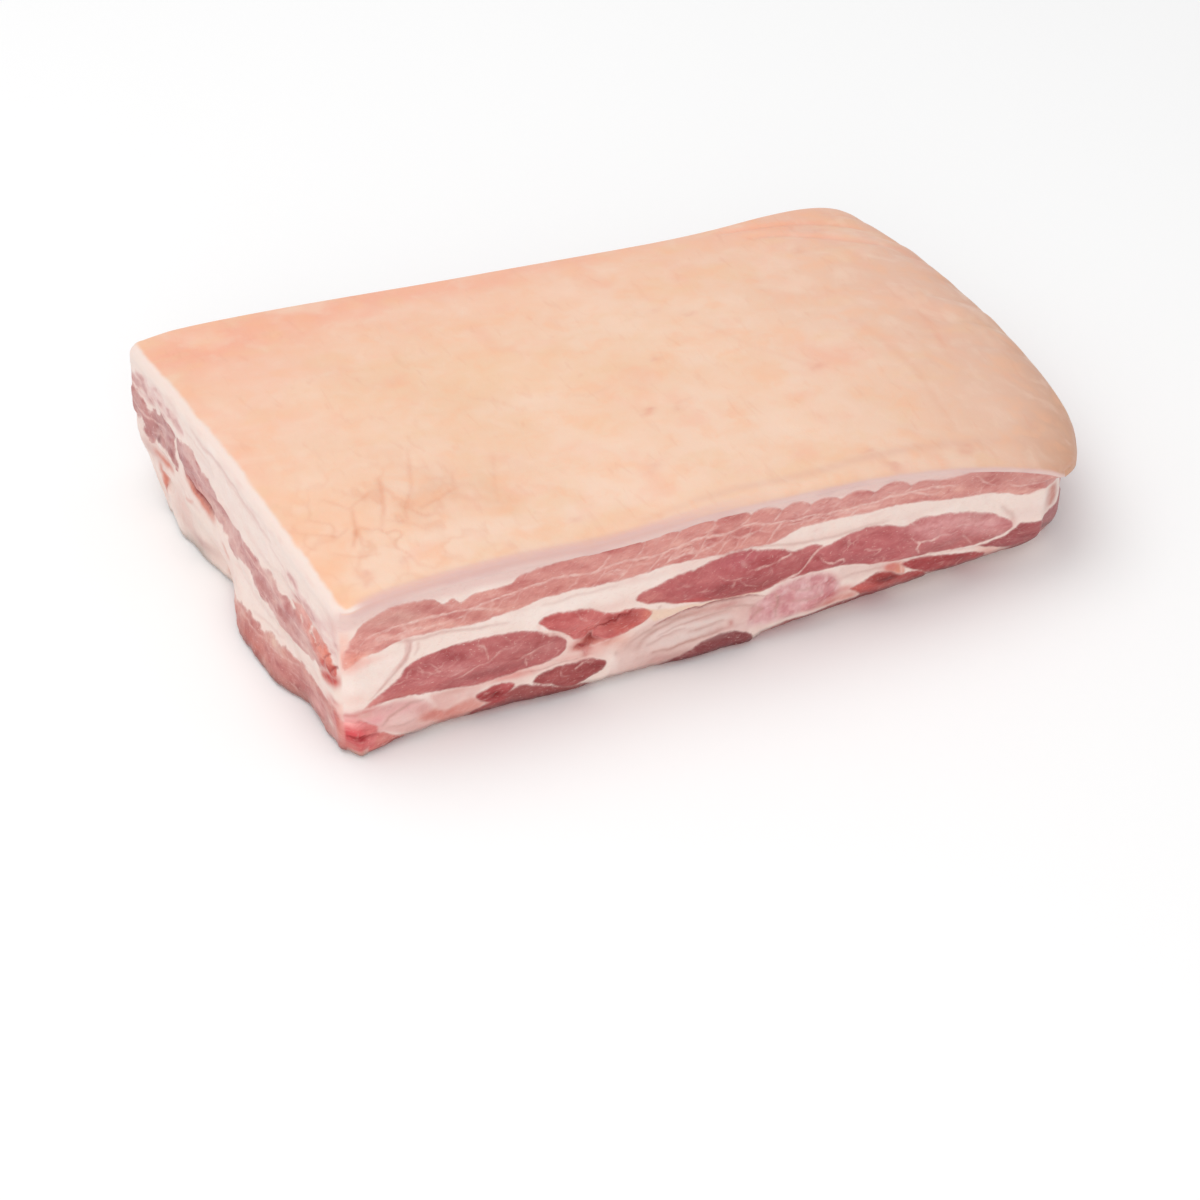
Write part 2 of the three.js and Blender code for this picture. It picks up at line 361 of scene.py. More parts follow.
# The upper lean of the front side: heights of its top, its pale middle seam and its bottom: [x, z],
# and the notches between its bundles, along the top.
UPPER_TOP = [
    [-3, 44], [3, 47], [7, 51.5], [13, 54.7], [20, 56.4], [32, 54.9], [36, 52.2], [40, 53], [43, 50.6],
    [48, 53], [61, 53.2], [65, 55.8], [76, 56.8], [103, 57.5], [129, 58.4], [142, 58], [156, 56.9],
    [170, 55.4], [190, 54], [205, 53.2], [216, 51.4], [226, 49], [238, 48.9], [251, 45.6], [258, 43.4],
    [267, 39.7], [276, 36.4]
]
UPPER_MIDDLE = [
    [-3, 40], [3, 42.5], [9, 46], [14, 47.6], [22, 48.7], [39, 48.2], [46, 47.3], [56, 48.6], [65, 49.7],
    [78, 50.5], [89, 49], [100, 50], [115, 48.9], [131, 51], [141, 49.7], [149, 51.3], [156, 49.7],
    [172, 48], [190, 47.2], [211, 47.2], [225, 46.3], [239, 43.2], [250, 40.5], [276, 34]
]
UPPER_BOTTOM = [
    [-3, 32], [2, 35.6], [6, 38.3], [14, 40], [18, 41.8], [26, 42.3], [50, 40.8], [66, 43], [78, 43.8],
    [103, 42.5], [117, 43.3], [143, 42.2], [156, 41.6], [170, 44], [184, 44], [204, 43.1], [215, 42.2],
    [229, 39.7], [247, 37.4], [258, 32.9], [267, 33.4], [280, 31]
]
NOTCHES = [97, 110, 122.5, 136.5, 149.3, 162, 173, 185, 198, 212.5, 226]

# The lower muscles of the front side: outline of (x, z) points, colour and, where its edge is
# softer than the others', half the width of that edge.
LOWER_MUSCLES = [
    ([(7.5, 18.6), (13, 22.8), (18, 25.8), (20.5, 28), (22.5, 31), (27, 32.9), (33.5, 34), (38.5, 34.7),
      (44, 34.4), (49, 34.7), (56.6, 34), (64.4, 32.4), (70.7, 30.6), (76.2, 27.8), (79.7, 24.6),
      (80.3, 22), (78.5, 19), (72, 17.2), (64, 16.4), (58, 16.2), (48.6, 15.9), (41, 16.5), (33, 17.4),
      (27, 18.3), (21.6, 18.9), (16, 19.2)], (191, 109, 108)),
    ([(70.3, 34), (73.8, 36.2), (78.6, 36.7), (84.8, 35.9), (91, 33.6), (95, 31.5), (97, 27), (95, 24.4),
      (91, 23.4), (87.4, 22.4), (83.3, 23.6), (78.5, 27.4), (73, 31.3)], CHERRY),
    ([(93.5, 31), (99.2, 30.2), (104, 30.4), (109.5, 29), (112.6, 26.6), (111, 23.9), (108, 22.3),
      (104, 20.9), (99.5, 20.1), (95, 20.4), (91, 21.4), (92, 25)], CHERRY),
    ([(107, 33), (109, 35), (115, 37), (121, 38.5), (128, 39), (132, 40), (138, 41.3), (144, 41.8),
      (150, 41), (157, 39.5), (162, 38), (167, 36), (172, 36), (178, 34.7), (175, 32), (173, 30),
      (171, 27), (165, 25), (160, 23.5), (153, 22.8), (142, 23.3), (132, 25), (122, 27), (116, 29.5),
      (111, 30.5)], (186, 99, 100)),
    ([(161, 23.8), (167, 24.5), (176, 24), (185, 24.3), (193, 23), (204, 20.6), (214, 20), (226, 18.5),
      (236, 17.4), (245, 17.4), (252, 19), (254.5, 21.6), (251, 25.2), (246, 28.7), (239, 31.6),
      (229, 34.1), (221, 35.1), (214, 34.6), (209, 34.6), (204, 36.3), (197, 37.7), (190, 37.5),
      (185, 36.5), (181, 34.9), (177, 33.6), (173, 31), (171, 28), (168, 25.5)], (191, 105, 106)),
    ([(208.5, 33), (215, 34.8), (221, 35.2), (229, 34.2), (239, 31.7), (246, 28.8), (251, 25.3),
      (254.5, 22), (252, 19.4), (246, 20), (239, 22.5), (232, 25.8), (224, 26.2), (219, 27.4),
      (213, 29.4)], (222, 160, 158), 4.5),
    ([(242, 15.6), (247, 16.6), (252, 17.4), (254.5, 19), (257.5, 21.2), (262, 20.9), (267, 20.6),
      (279, 20), (279, 8), (262, 8.4), (255, 10.6), (248, 13.2)], RED_DEEP),
    ([(209, 17.6), (213, 18.9), (219, 18.3), (226, 17), (233, 15.2), (240, 13.4), (245.5, 11), (244, 8),
      (236, 6.6), (224, 8.5), (216, 13.2), (212, 15.6)], RAW),
    ([(68, 11), (70.6, 13.4), (76, 14.2), (82, 14.2), (87, 14.1), (92, 13.1), (95, 11), (94, 8.1),
      (90.5, 6), (86.6, 4.8), (82.7, 4.1), (78.6, 5), (74.5, 7.7), (70, 9.4)], (166, 85, 84)),
    ([(38, -2), (44, 4), (51, 6.5), (59, 9), (63, 10.6), (68, 9.5), (74, 7.5), (79, 5.3), (87, 4),
      (94, 1), (90, -2)], (160, 86, 84)),
    ([(8, 8), (12.6, 7.7), (17.3, 4.8), (21, 3.4), (21, 1.2), (8, 1.2)], (214, 126, 119)),
    ([(116, 2.6), (122, 4.2), (128, 6.6), (133, 8.4), (138, 9.3), (142, 9.2), (146, 8.2), (150, 6),
      (152.5, 3.4), (148, 0), (116, 0)], BROWN),
    ([(-6, 13.2), (1, 13.6), (5, 14.2), (9, 12.4), (11.5, 9.6), (10, 6.4), (6, 3.4),
      (-6, 2.6)], (220, 130, 128)),
    ([(47, 11), (51, 13), (57, 13.5), (61, 12), (60, 9.5), (55, 6.5), (50, 7)], RAW),
    ([(189.5, 12.8), (193, 14.9), (197, 16.6), (201, 17.3), (205, 16.4), (209, 14.2), (215, 12.7),
      (221, 10.2), (220, 6.5), (205, 5.6), (196, 7.6), (193, 10)], (176, 78, 74)),
]
# Lean that shows along the lower edge at the right: its upper limit [x, z]. The colour laid there is partly
# painted shade of the rounded underside.
LOW_STRIP = [
    [148, -4], [152, 2], [157, 4.4], [167, 6.4], [190, 7.8], [205, 8.4], [243, 9.4], [257, 10.6],
    [279, 14]
]

# Pale parts of the front side that aren't lean: outline, colour and how soft the edge is.
PALE_PARTS = [
    ([(96, 4), (99, 12), (103, 17), (109, 20.5), (115, 23), (123, 24.8), (131, 24.4), (141, 23.3),
      (150, 22.2), (155, 20), (155, 13), (151, 8), (146, 0), (118, -2), (100, -2)], MEMBRANE, 1.0),
    ([(151, 9), (151, 14), (154, 18), (158, 21), (163, 22.8), (170, 23.4), (177, 22.8), (183, 21),
      (185, 17), (184, 13.8), (178, 11.5), (172, 10), (166, 8.6), (160, 8)], SPONGE, 2.2),
    ([(8, 15.2), (11, 17.2), (17, 18), (22, 17.8), (27, 15.8), (31, 13), (30, 10.5), (26, 9.5), (27, 7),
      (31, 5), (25, 3.3), (19, 5), (12, 7.7), (9, 10)], GRISTLE, 1.4),
    ([(31, 16.8), (38, 16.2), (49, 15.4), (46, 11.6), (42, 11.6), (37, 9.5), (33, 10.5),
      (31, 14)], (228, 184, 176), 1.4),
    ([(27, 11), (32, 10.8), (36, 9), (42, 10.5), (47, 9.5), (50, 6.8), (46, 3.6), (38, 3), (31, 6),
      (26, 8)], ORANGE, 1.6),
    ([(186, 21), (187, 23.4), (195, 22.2), (203, 20.4), (202, 18.2), (197, 17.3), (191, 16.6),
      (188, 18.5)], (233, 206, 197), 1.0),
    ([(203, 17.9), (206, 19.5), (210, 17.4), (210.5, 13.8), (205.5, 15.8)], (222, 146, 124), 0.9),
    ([(110, 28.6), (114, 27), (120, 25.6), (130, 24.6), (141, 23.9), (152, 23.6), (157, 24), (152, 22.4),
      (141, 23.1), (130, 23.6), (120, 22.8), (113, 22.4)], (237, 207, 186), 0.5),
    ([(22, 43), (24.6, 41.4), (24.8, 37), (22.8, 33.4), (17.6, 28.6), (12, 24), (16.6, 29.4), (21.2, 34),
      (22.4, 38)], (226, 190, 182), 0.6),
]
# Local shades of the lean of the front side: (x, z, reach in x, reach in z, colour, strength).
FLESH_SHADES = [
    (3.5, 39, 5, 4, (236, 164, 148), 0.95), (8, 44, 8, 5, (234, 172, 160), 0.7),
    (20, 44, 16, 2.5, (232, 176, 165), 0.8), (20, 52, 15, 3.5, MAUVE, 0.9),
    (50, 44.5, 14, 3, (215, 150, 138), 0.7), (78, 46.5, 13, 3, (208, 134, 125), 0.8),
    (106, 46, 10, 2.5, SALMON, 0.4), (135, 48.3, 4, 1.6, (196, 112, 108), 0.8),
    (150, 48.4, 4, 1.5, (198, 114, 110), 0.8), (176, 51, 14, 3, (222, 160, 152), 0.9),
    (204, 50, 14, 2.5, (216, 153, 146), 0.8), (190, 45.5, 20, 1.8, (226, 168, 159), 0.7),
    (224, 45, 10, 4, (211, 144, 136), 0.7), (245, 43.5, 10, 3, (200, 132, 124), 0.8),
    (240, 39.5, 10, 2, (214, 152, 144), 0.6), (262, 37.5, 8, 3, (210, 154, 145), 0.7),
    (5, 40.4, 3, 2.4, (220, 134, 120), 0.8), (10, 20.5, 5, 2.5, (214, 136, 130), 0.8),
    # (54, 20.5) and (50, 21): the darker red along the lower edge of the big left muscle is partly painted
    # shade under its swelling.
    (19, 23, 6, 3, (190, 108, 106), 0.7), (54, 20.5, 18, 2.4, (168, 92, 92), 0.85),
    (70, 24, 6, 2.5, (186, 110, 107), 0.5), (66, 26, 12, 4, (178, 98, 95), 0.7),
    (34, 30, 12, 2, RED_DEEP, 0.4), (46, 28, 6, 3, (192, 114, 112), 0.4),
    (88, 31, 6, 3.5, (206, 116, 112), 0.5), (78, 31, 5, 2.5, (192, 98, 97), 0.6),
    (101, 24, 6, 3, (184, 84, 78), 0.9), (104, 27.5, 5, 2.4, (166, 70, 66), 0.8),
    (98, 28.6, 4, 1.2, (150, 48, 48), 0.8), (96, 26, 2.5, 1.5, (150, 50, 50), 0.6),
    (111, 26.6, 2.6, 2.6, (224, 134, 112), 0.7), (106, 22.6, 4, 1.4, (206, 96, 86), 0.7),
    (112, 32.5, 5, 3, (202, 123, 116), 0.8), (121, 36, 7, 2.5, (185, 99, 99), 0.7),
    (132, 37, 6, 3, (204, 124, 122), 0.7), (146, 38.5, 10, 2.5, (194, 106, 111), 0.8),
    (142, 30, 16, 3, (160, 76, 78), 0.8), (145, 26.4, 8, 1.6, (154, 66, 68), 0.7),
    (50, 21, 8, 2, (162, 84, 84), 0.7), (150, 25.8, 14, 2.5, (158, 74, 74), 0.9),
    (125, 26.6, 9, 1.5, (192, 76, 74), 0.8), (165, 30, 5, 4, (180, 98, 96), 0.5),
    (119, 29.5, 5, 2, (194, 114, 110), 0.7), (168, 34.5, 5, 1.5, (202, 124, 122), 0.6),
    (184, 33, 6, 4, (196, 118, 118), 0.7), (190, 26, 12, 2.5, (172, 96, 97), 0.8),
    (201, 32, 9, 3, (187, 103, 104), 0.6), (240, 30.5, 6, 2.4, (216, 168, 163), 0.7),
    (231, 29, 12, 2, (205, 136, 134), 0.6), (232, 21.5, 10, 2.4, (186, 112, 111), 0.6),
    (222, 22.5, 8, 2.2, (170, 92, 91), 0.7), (213, 25, 4, 2, (196, 124, 122), 0.7),
    (240, 19.5, 10, 2.4, (188, 112, 109), 0.7), (196, 36, 10, 1.4, (207, 132, 129), 0.6),
    (262, 17, 8, 2.5, (164, 86, 86), 0.6), (233, 11.5, 8, 2, (172, 96, 94), 0.6),
    (276, 15, 4, 3, (186, 116, 112), 0.6), (74, 11, 5, 2, (180, 96, 94), 0.6),
    (90, 10.5, 5, 2, (156, 76, 76), 0.6), (84, 7, 6, 1, (140, 62, 62), 0.5),
    (54, 9.5, 2.5, 1.4, CLOT, 0.7), (59, 12.4, 3, 1.5, (202, 105, 106), 0.7),
    (203, 14.2, 5, 1.6, (110, 18, 24), 0.95), (194, 13.4, 3, 1.6, (208, 116, 112), 0.8),
    (213, 11, 5, 1.8, (182, 82, 82), 0.6), (194, 11, 4, 2, (186, 92, 88), 0.5),
    (2, 12.6, 6, 2.2, (248, 170, 166), 0.95), (2.6, 8.6, 5, 2.8, (224, 84, 90), 0.97),
    # (4.4, 7.4): the dark line along the slit of the red nodule is painted shade.
    (8.6, 9.4, 2.6, 2, (214, 120, 116), 0.8), (4.4, 7.4, 2.6, 0.8, (164, 44, 52), 0.9),
    (0, 4, 4, 1.6, (212, 132, 122), 0.8), (40, 26, 5, 2, (202, 136, 134), 0.5),
    (52, 23.4, 4, 1.6, (198, 130, 128), 0.5), (62, 27, 5, 2, (200, 130, 128), 0.5),
    (74, 24, 4, 2.4, (200, 132, 129), 0.6), (29, 24, 5, 1.8, (202, 128, 126), 0.5),
    (40, 31, 5, 1.6, (174, 92, 94), 0.5), (54, 30, 6, 1.8, (176, 90, 90), 0.5),
    (24, 20.4, 8, 1.4, (200, 116, 110), 0.6), (14, 5, 3, 1, (222, 160, 150), 0.7),
    (17, 2.8, 3, 1.2, (172, 88, 82), 0.6), (135, 8.6, 10, 1.2, (158, 118, 114), 0.6),
    # The dark reds along the lowest edge, at (60, 3), (200, 7), (172, 5) and (40, 1), are partly painted
    # shade where the slab meets the floor.
    (60, 3, 12, 2.4, (138, 78, 80), 0.7), (164, 5, 10, 3, (198, 144, 138), 0.8),
    (185, 6, 12, 2, (188, 126, 122), 0.6), (200, 7, 30, 2, (150, 72, 72), 0.9),
    (268, 12, 12, 4, (164, 86, 86), 0.5), (191, 12, 3, 2.4, (214, 118, 104), 0.7),
    (197, 11, 5, 2, (196, 86, 80), 0.7), (172, 5, 9, 1.4, (176, 92, 92), 0.8),
    (40, 1, 60, 1.4, (150, 84, 82), 0.4)
]
# Local shades of the fat of the front side.
FAT_SHADES = [
    (4, 14.6, 6, 3, (236, 156, 156), 0.85), (8.5, 17.4, 4, 1.2, (204, 108, 106), 0.8),
    (3, 16.6, 4, 0.9, (196, 92, 88), 0.7), (1.5, 11.6, 4.4, 3, (232, 132, 132), 0.9),
    (3.4, 8, 5, 2.8, (204, 84, 88), 0.97), (8.4, 8, 3, 2, (206, 106, 104), 0.85),
    # (4.6, 7.4): the dark line along the slit of the red nodule is painted shade.
    (4.6, 7.4, 2.4, 1, (172, 52, 58), 0.9), (3, 3.4, 5, 1.8, (205, 112, 104), 0.9),
    (30, 8.6, 3.4, 1.8, (203, 116, 106), 0.8), (37, 7.4, 6, 1.8, (208, 126, 116), 0.7),
    (3, 39, 5, 4.5, PEACH_FAT, 0.95), (1, 46, 3, 5, (240, 190, 174), 0.8),
    (7, 36.8, 7, 1.6, (240, 190, 178), 0.8), (3, 26, 5, 6, FAT_WHITE, 0.7),
    (80, 38.5, 24, 3, FAT_WHITE, 0.8), (110, 41, 10, 1.5, FAT_BAND, 0.5), (42, 56, 5, 3, FAT_ROSY, 0.6),
    (60, 56, 10, 2, FAT_ROSY, 0.4), (90, 18, 8, 5, (222, 148, 138), 0.7),
    # (92, 22.2) and (87, 20.2): the near-black red of the two holes of the torn cavity is painted shade.
    (91, 21.8, 5.8, 2.6, (206, 92, 78), 0.95), (92, 22.2, 3.8, 1.6, (116, 14, 22), 0.98),
    (85.5, 20, 3.8, 2, (204, 104, 92), 0.9), (87, 20.2, 3, 1.2, (140, 26, 32), 0.97),
    (95.4, 22.4, 1.6, 1.6, (236, 186, 170), 0.8), (98, 18.4, 3, 1, (226, 160, 140), 0.7),
    (88, 17, 1.6, 2.6, (196, 104, 102), 0.8), (96, 19.6, 4, 1.6, (206, 118, 108), 0.7),
    (84, 17.4, 3, 1, (240, 214, 206), 0.8), (93, 17.2, 2, 2, (238, 196, 186), 0.7),
    (102, 17, 5, 4, (232, 178, 163), 0.7), (80, 16.3, 8, 1.6, (233, 186, 176), 0.8),
    (97, 33, 12, 2, (232, 190, 180), 0.5), (20, 15.5, 7, 1.8, LAVENDER, 0.7),
    (11, 13, 3, 3, (229, 160, 162), 0.8), (16, 16.8, 5, 1.4, (213, 156, 152), 0.8),
    (20, 10.5, 7, 2.2, (236, 200, 194), 0.6), (24, 6, 5, 2, (222, 176, 168), 0.6),
    (8, 15.5, 3, 1.5, (216, 168, 158), 0.7), (44, 14, 5, 1.6, (236, 206, 198), 0.7),
    (36, 4.4, 9, 1.2, (186, 112, 106), 0.7), (46, 10, 3, 1.4, (214, 136, 126), 0.6),
    (64, 14.6, 6, 1.4, (224, 168, 158), 0.7), (98, 9, 2.5, 5, FAT_WHITE, 0.6),
    (107, 14, 6, 2.6, (215, 178, 170), 0.7), (106, 6, 7, 3, (222, 188, 180), 0.6),
    (119, 19, 10, 1.5, (233, 206, 198), 0.8), (124, 15.5, 14, 2.6, (237, 216, 209), 0.85),
    # Just below the cleft over the membrane, the darker greyish pinks at (141, 20.6), (131, 21.4), (122,
    # 20.8) and (113, 18.4) are painted shade under the fold.
    (140, 17, 9, 3.4, (222, 188, 179), 0.7), (141, 20.6, 7, 1.4, (202, 144, 138), 0.85),
    (131, 21.4, 8, 1.1, (206, 156, 146), 0.8), (122, 20.8, 6, 1, (190, 150, 140), 0.7),
    (113, 18.4, 5, 1.6, (206, 170, 160), 0.7), (133, 16.6, 8, 1.2, (216, 172, 164), 0.6),
    (128, 13.6, 9, 0.8, (216, 178, 170), 0.6), (138, 11, 8, 0.9, (202, 138, 132), 0.7),
    (116, 8.4, 8, 1, (206, 162, 154), 0.6), (60, 15.4, 9, 1.3, (226, 146, 138), 0.9),
    (40, 15.4, 5, 1.4, (214, 162, 152), 0.7), (27, 12.4, 3, 2, (214, 152, 146), 0.7),
    (4, 23, 4, 3, (238, 202, 190), 0.7), (15, 29, 6, 3, (242, 222, 214), 0.5),
    (126, 11.5, 12, 1.6, (229, 208, 201), 0.8), (122, 8, 10, 1.8, (226, 198, 190), 0.6),
    (117, 5, 8, 2.6, (198, 146, 140), 0.8), (147, 15, 4, 3, (226, 182, 174), 0.8),
    (153, 15.5, 2.6, 2.2, (200, 138, 134), 0.6), (149, 9, 4, 3, (230, 196, 190), 0.6),
    (181, 12.6, 7, 2, MAGENTA, 0.95), (174, 10.6, 5, 1.6, MAGENTA, 0.7),
    (182, 9.6, 6, 1.6, (206, 120, 112), 0.9), (190, 9.6, 4, 1.6, (214, 132, 118), 0.8),
    (246, 12.4, 6, 2.4, (233, 184, 170), 0.8), (135, 14.6, 10, 1.4, (232, 213, 206), 0.7),
    (143, 12.4, 1, 1.1, (190, 104, 98), 0.7), (126, 5, 4, 2, (190, 140, 134), 0.8),
    (181, 18.4, 3.6, 2.4, (194, 120, 122), 0.8), (163, 16, 4, 4, (204, 140, 140), 0.6),
    (172, 18.5, 5, 2.6, (222, 166, 168), 0.6), (168, 12, 4, 2, (228, 180, 180), 0.6),
    (205, 18, 3.4, 1.6, (212, 128, 120), 0.9), (188, 13.4, 3, 1.6, (222, 150, 142), 0.7),
    (248, 10.4, 6, 1.6, (222, 156, 146), 0.7), (262, 25, 9, 4, (236, 208, 200), 0.6),
    (254, 22, 2, 3, (222, 170, 162), 0.5), (271.5, 27, 2.2, 4.5, (196, 122, 110), 0.95),
    (180, 38.5, 22, 1.4, (234, 200, 190), 0.5), (216, 38, 14, 1.6, (238, 214, 204), 0.6),
    (3.5, 1.5, 4, 3, (200, 136, 122), 0.8), (24, 1, 8, 2, (214, 168, 156), 0.7),
    (112, 2, 9, 2, (214, 168, 160), 0.6)
]
# Clefts of the front side, as routes with a strength and a half width. The finish paints them dark red, as
# painted shade in the gaps; the longest is the shadow line over the membrane, from x 113 to 157.
FRONT_CLEFTS = [
    (0.5, [(83, 19.7), (85, 20.7), (87.4, 20.2)], 0.7), (0.4, [(87, 19.2), (88, 15.5)]),
    (0.55, [(88, 22), (91.4, 21.6), (94.6, 20.6)], 0.8), (0.4, [(90, 19.2), (91.5, 21.4)], 0.7),
    (0.35, [(88, 22), (92, 24.3)]),
    (0.9, [(92.4, 23.6), (93.6, 25.8), (95.6, 25.1), (97, 27.4), (99.4, 26.9), (101, 28.8), (104, 28.4),
      (106.5, 30)]),
    (0.8, [(113, 20), (118, 21.4), (124, 22.6), (130, 23.1), (136, 23), (141, 22.7), (146, 22.1),
      (152, 21.4), (157, 20)], 0.55),
    (0.75, [(-1, 7.4), (3, 8), (7, 7.8), (12, 7.2)]), (0.4, [(196, 14.4), (201, 13.5), (207, 14)], 1.0),
    (0.3, [(5, 18.2), (14, 19.2), (26, 18.4), (38, 17.4), (52, 16.3), (66, 16.9), (78, 19)]),
    (0.5, [(107, 48.1), (111, 48.6)], 0.5), (0.5, [(124, 48.6), (129, 49.2)], 0.5),
    (0.5, [(133, 49.4), (138, 48.9)], 0.5), (0.5, [(147, 49.6), (152, 49.4)], 0.5),
    (0.6, [(53, 8.8), (55.5, 10.2)], 0.8), (0.4, [(179, 17.5), (183, 20.3), (185.5, 16)]),
    (0.35, [(172, 11.7), (178, 12), (185, 13)]), (0.4, [(62, 15.3), (70, 14.9), (80, 15.4), (90, 14.8)]),
    (0.35, [(207, 18.6), (214, 19.3), (226, 18.1), (240, 15.8), (247, 14.6)]),
]
# White seams between the bundles of lean.
FRONT_SEAMS = [
    (0.8, [(6, 43.9), (9, 46), (13, 47.5)]), (0.6, [(11, 44.2), (14, 45.8), (17, 47.9)]),
    (0.7, [(20.6, 45.6), (22, 42.6), (22.6, 39)], 1.2), (0.5, [(22, 48.6), (23.5, 45.6)], 1.0),
    (0.8, [(12, 44.3), (19, 45.2), (27, 45.6), (36, 44.6), (45, 45.4)]),
    (0.9, [(45, 46.3), (50, 46.3), (57, 43.6)]), (0.7, [(50, 46.4), (55, 44.9), (56, 43)]),
    (0.8, [(56, 47.1), (63, 48.5)]), (0.9, [(78, 53.2), (82, 50.1), (89, 48.8), (92, 49.4), (96, 52.3)]),
    (0.8, [(92, 48.2), (98, 45.9), (104, 45.4)]),
    (0.9, [(118, 44.7), (121, 45.6), (126, 46.2), (130, 46)]),
    (0.9, [(126, 49.8), (130, 46), (135, 46.1), (139, 47.8), (141, 49)]),
    (0.7, [(131, 53), (133, 53.3), (137, 50.7)]),
    (0.9, [(143, 48.6), (146, 46.8), (151, 47.3), (155, 49)]),
    (0.7, [(142, 41.4), (145, 44), (146, 46.6)]), (0.8, [(162, 47.1), (166, 46.8), (172, 47)]),
    (0.8, [(211, 47.5), (218, 44.5), (224, 43.8)]),
    (0.9, [(252, 39.6), (256, 37.3), (261, 37.1), (270, 36.4)]), (0.7, [(255, 43), (256, 40)]),
    (0.6, [(261, 40.8), (262, 37)]), (0.7, [(238, 47), (241, 43.5), (246, 41)]),
    (0.55, [(24, 30.2), (28, 28.3), (31, 26.8), (33, 25.2), (38, 23.7), (42, 25.2), (45, 25.9)]),
    (0.65, [(38, 21.3), (42, 22.3), (47, 24.9), (51, 26.2), (56, 28.3), (63, 28.6)]),
    (0.9, [(47, 33.6), (50, 32), (51, 29.5), (51, 26.7)]), (0.6, [(65, 22.4), (66, 17.7)]),
    (0.6, [(60, 22), (68, 24), (76, 25.6)]), (0.6, [(57, 33.6), (60, 31.4), (60.6, 29)]),
    (0.5, [(28, 25.6), (36, 27.2), (42, 30.2)]), (0.6, [(84, 36), (85, 33), (88, 30.4)]),
    (0.5, [(118, 33), (124, 34.6), (130, 33.4)]),
    (1.0, [(69.5, 34), (70.5, 31), (76, 28.3), (80, 25.3), (82.5, 22.7)], 0.9),
    (0.8, [(84, 12), (87, 12.8), (92, 12.4)]), (0.7, [(78, 12.3), (79, 9.9), (82, 9)]),
    (0.9, [(85, 16), (87, 14.2), (90, 14.2), (94, 13.8), (95, 17)]),
    (0.8, [(89, 19.2), (93, 18.8), (98, 19.8)]),
    (0.9, [(178.5, 35), (175, 33), (172.5, 30), (170.5, 27.3), (166, 25.2), (160, 23.6)], 0.8),
    (0.9, [(166, 35.8), (163, 35), (159, 34.4), (154, 34.2), (148, 34.4)]),
    (0.6, [(136, 36.1), (140, 33), (142, 32.3), (150, 32.1)]), (0.6, [(142, 32.3), (142, 28.7)]),
    (0.6, [(144, 31.3), (148, 27.6), (153, 26)]), (0.5, [(128, 30.7), (134, 30.4)]),
    (0.9, [(176, 31.4), (178, 28.9), (182, 26.6), (186, 27.3), (187, 25.8), (185, 24.3)]),
    (0.9, [(212, 29.6), (214.5, 26.9), (220, 25.9), (224, 26.4), (231, 27.2)]),
    (0.9, [(213, 28.8), (215, 26.5), (214, 24.1), (216.4, 21.5)]),
    (0.5, [(226, 23.4), (229, 22.2), (231, 19)]), (0.7, [(233, 24.2), (236, 21.8), (238.6, 18.6)]),
    (0.8, [(194, 29.2), (200, 28.5), (199, 26.8), (197, 26)]), (0.6, [(224, 30), (234, 28.6), (242, 25)]),
    (0.9, [(225, 17.7), (235, 16.2), (243, 14.6), (244, 13)]), (0.9, [(209, 19.5), (210, 13.8)], 0.9),
    (0.6, [(209, 17.1), (216, 12.9), (223, 10)]), (0.4, [(252, 18.8), (258, 17), (265, 17.4)]),
    (0.6, [(49, 14.6), (56, 15.4), (68, 16), (80, 18)], 0.9),
]
# Thin darker lines in the fat and skins of the front side: partly painted shade along folds and creases,
# partly darker lines of the tissue.
FRONT_CREASES = [
    (0.45, [(19, 42), (25, 40.6), (35, 40.7), (51, 38.5), (60, 37.6)]),
    (0.3, [(72, 40.6), (86, 41.2), (100, 40.8)]),
    (0.45, [(137, 42), (149, 41.7), (156, 41.3), (166, 38.9), (175, 37.2), (184, 37.6), (193, 38.4),
      (204, 37.8)]),
    (0.5, [(24.6, 41), (24.2, 36.8), (22, 33.4), (19, 29.6), (14, 25.6), (9, 21)], 0.5),
    (0.35, [(27, 40.4), (27.4, 37.4), (25.6, 34.4)], 0.5),
    (0.4, [(249, 30.8), (253, 26.9), (255, 23.5)], 1.0),
    (0.7, [(13, 9.9), (15, 13.4), (19, 15.3), (23, 16.3), (28, 15.9)]),
    (0.4, [(15, 9), (20, 8.4), (25, 9.4)]),
    (0.4, [(117, 21), (113, 19.6), (109, 17.3), (106, 15.8), (103, 13.4)], 0.7),
    (0.9, [(112, 9.2), (119, 8.8), (123, 9.6), (130, 9.9), (135, 10.2), (140, 10.9)], 0.6),
    (0.6, [(127, 12.6), (133, 13.1), (141, 13.9)], 0.5),
    (0.6, [(107, 12), (111, 15.6), (117, 18.6), (124, 20.4), (132, 21.2)], 1.0),
    (0.5, [(116, 14.6), (124, 16.4), (134, 17.6), (143, 18)], 0.5),
    (0.5, [(111, 12.4), (118, 13.8), (126, 14.6)], 0.5),
    (0.6, [(141, 19.2), (147, 19), (152, 17.6)], 0.6), (0.6, [(151.5, 17.6), (155.5, 14.4), (152, 12.2)]),
    (0.7, [(160, 20.1), (161.5, 17), (160.5, 13), (161, 9)]),
    (0.5, [(165, 20.6), (170, 18.4), (175, 18.8)]), (0.5, [(166, 15.2), (172, 14.2), (178, 15.6)]),
    (0.35, [(186, 19), (194, 19.4), (202, 18.6)]), (0.4, [(99, 13.6), (100, 12.8)], 0.9),
    (0.5, [(115, 27.9), (116, 27.3)], 0.9),
]

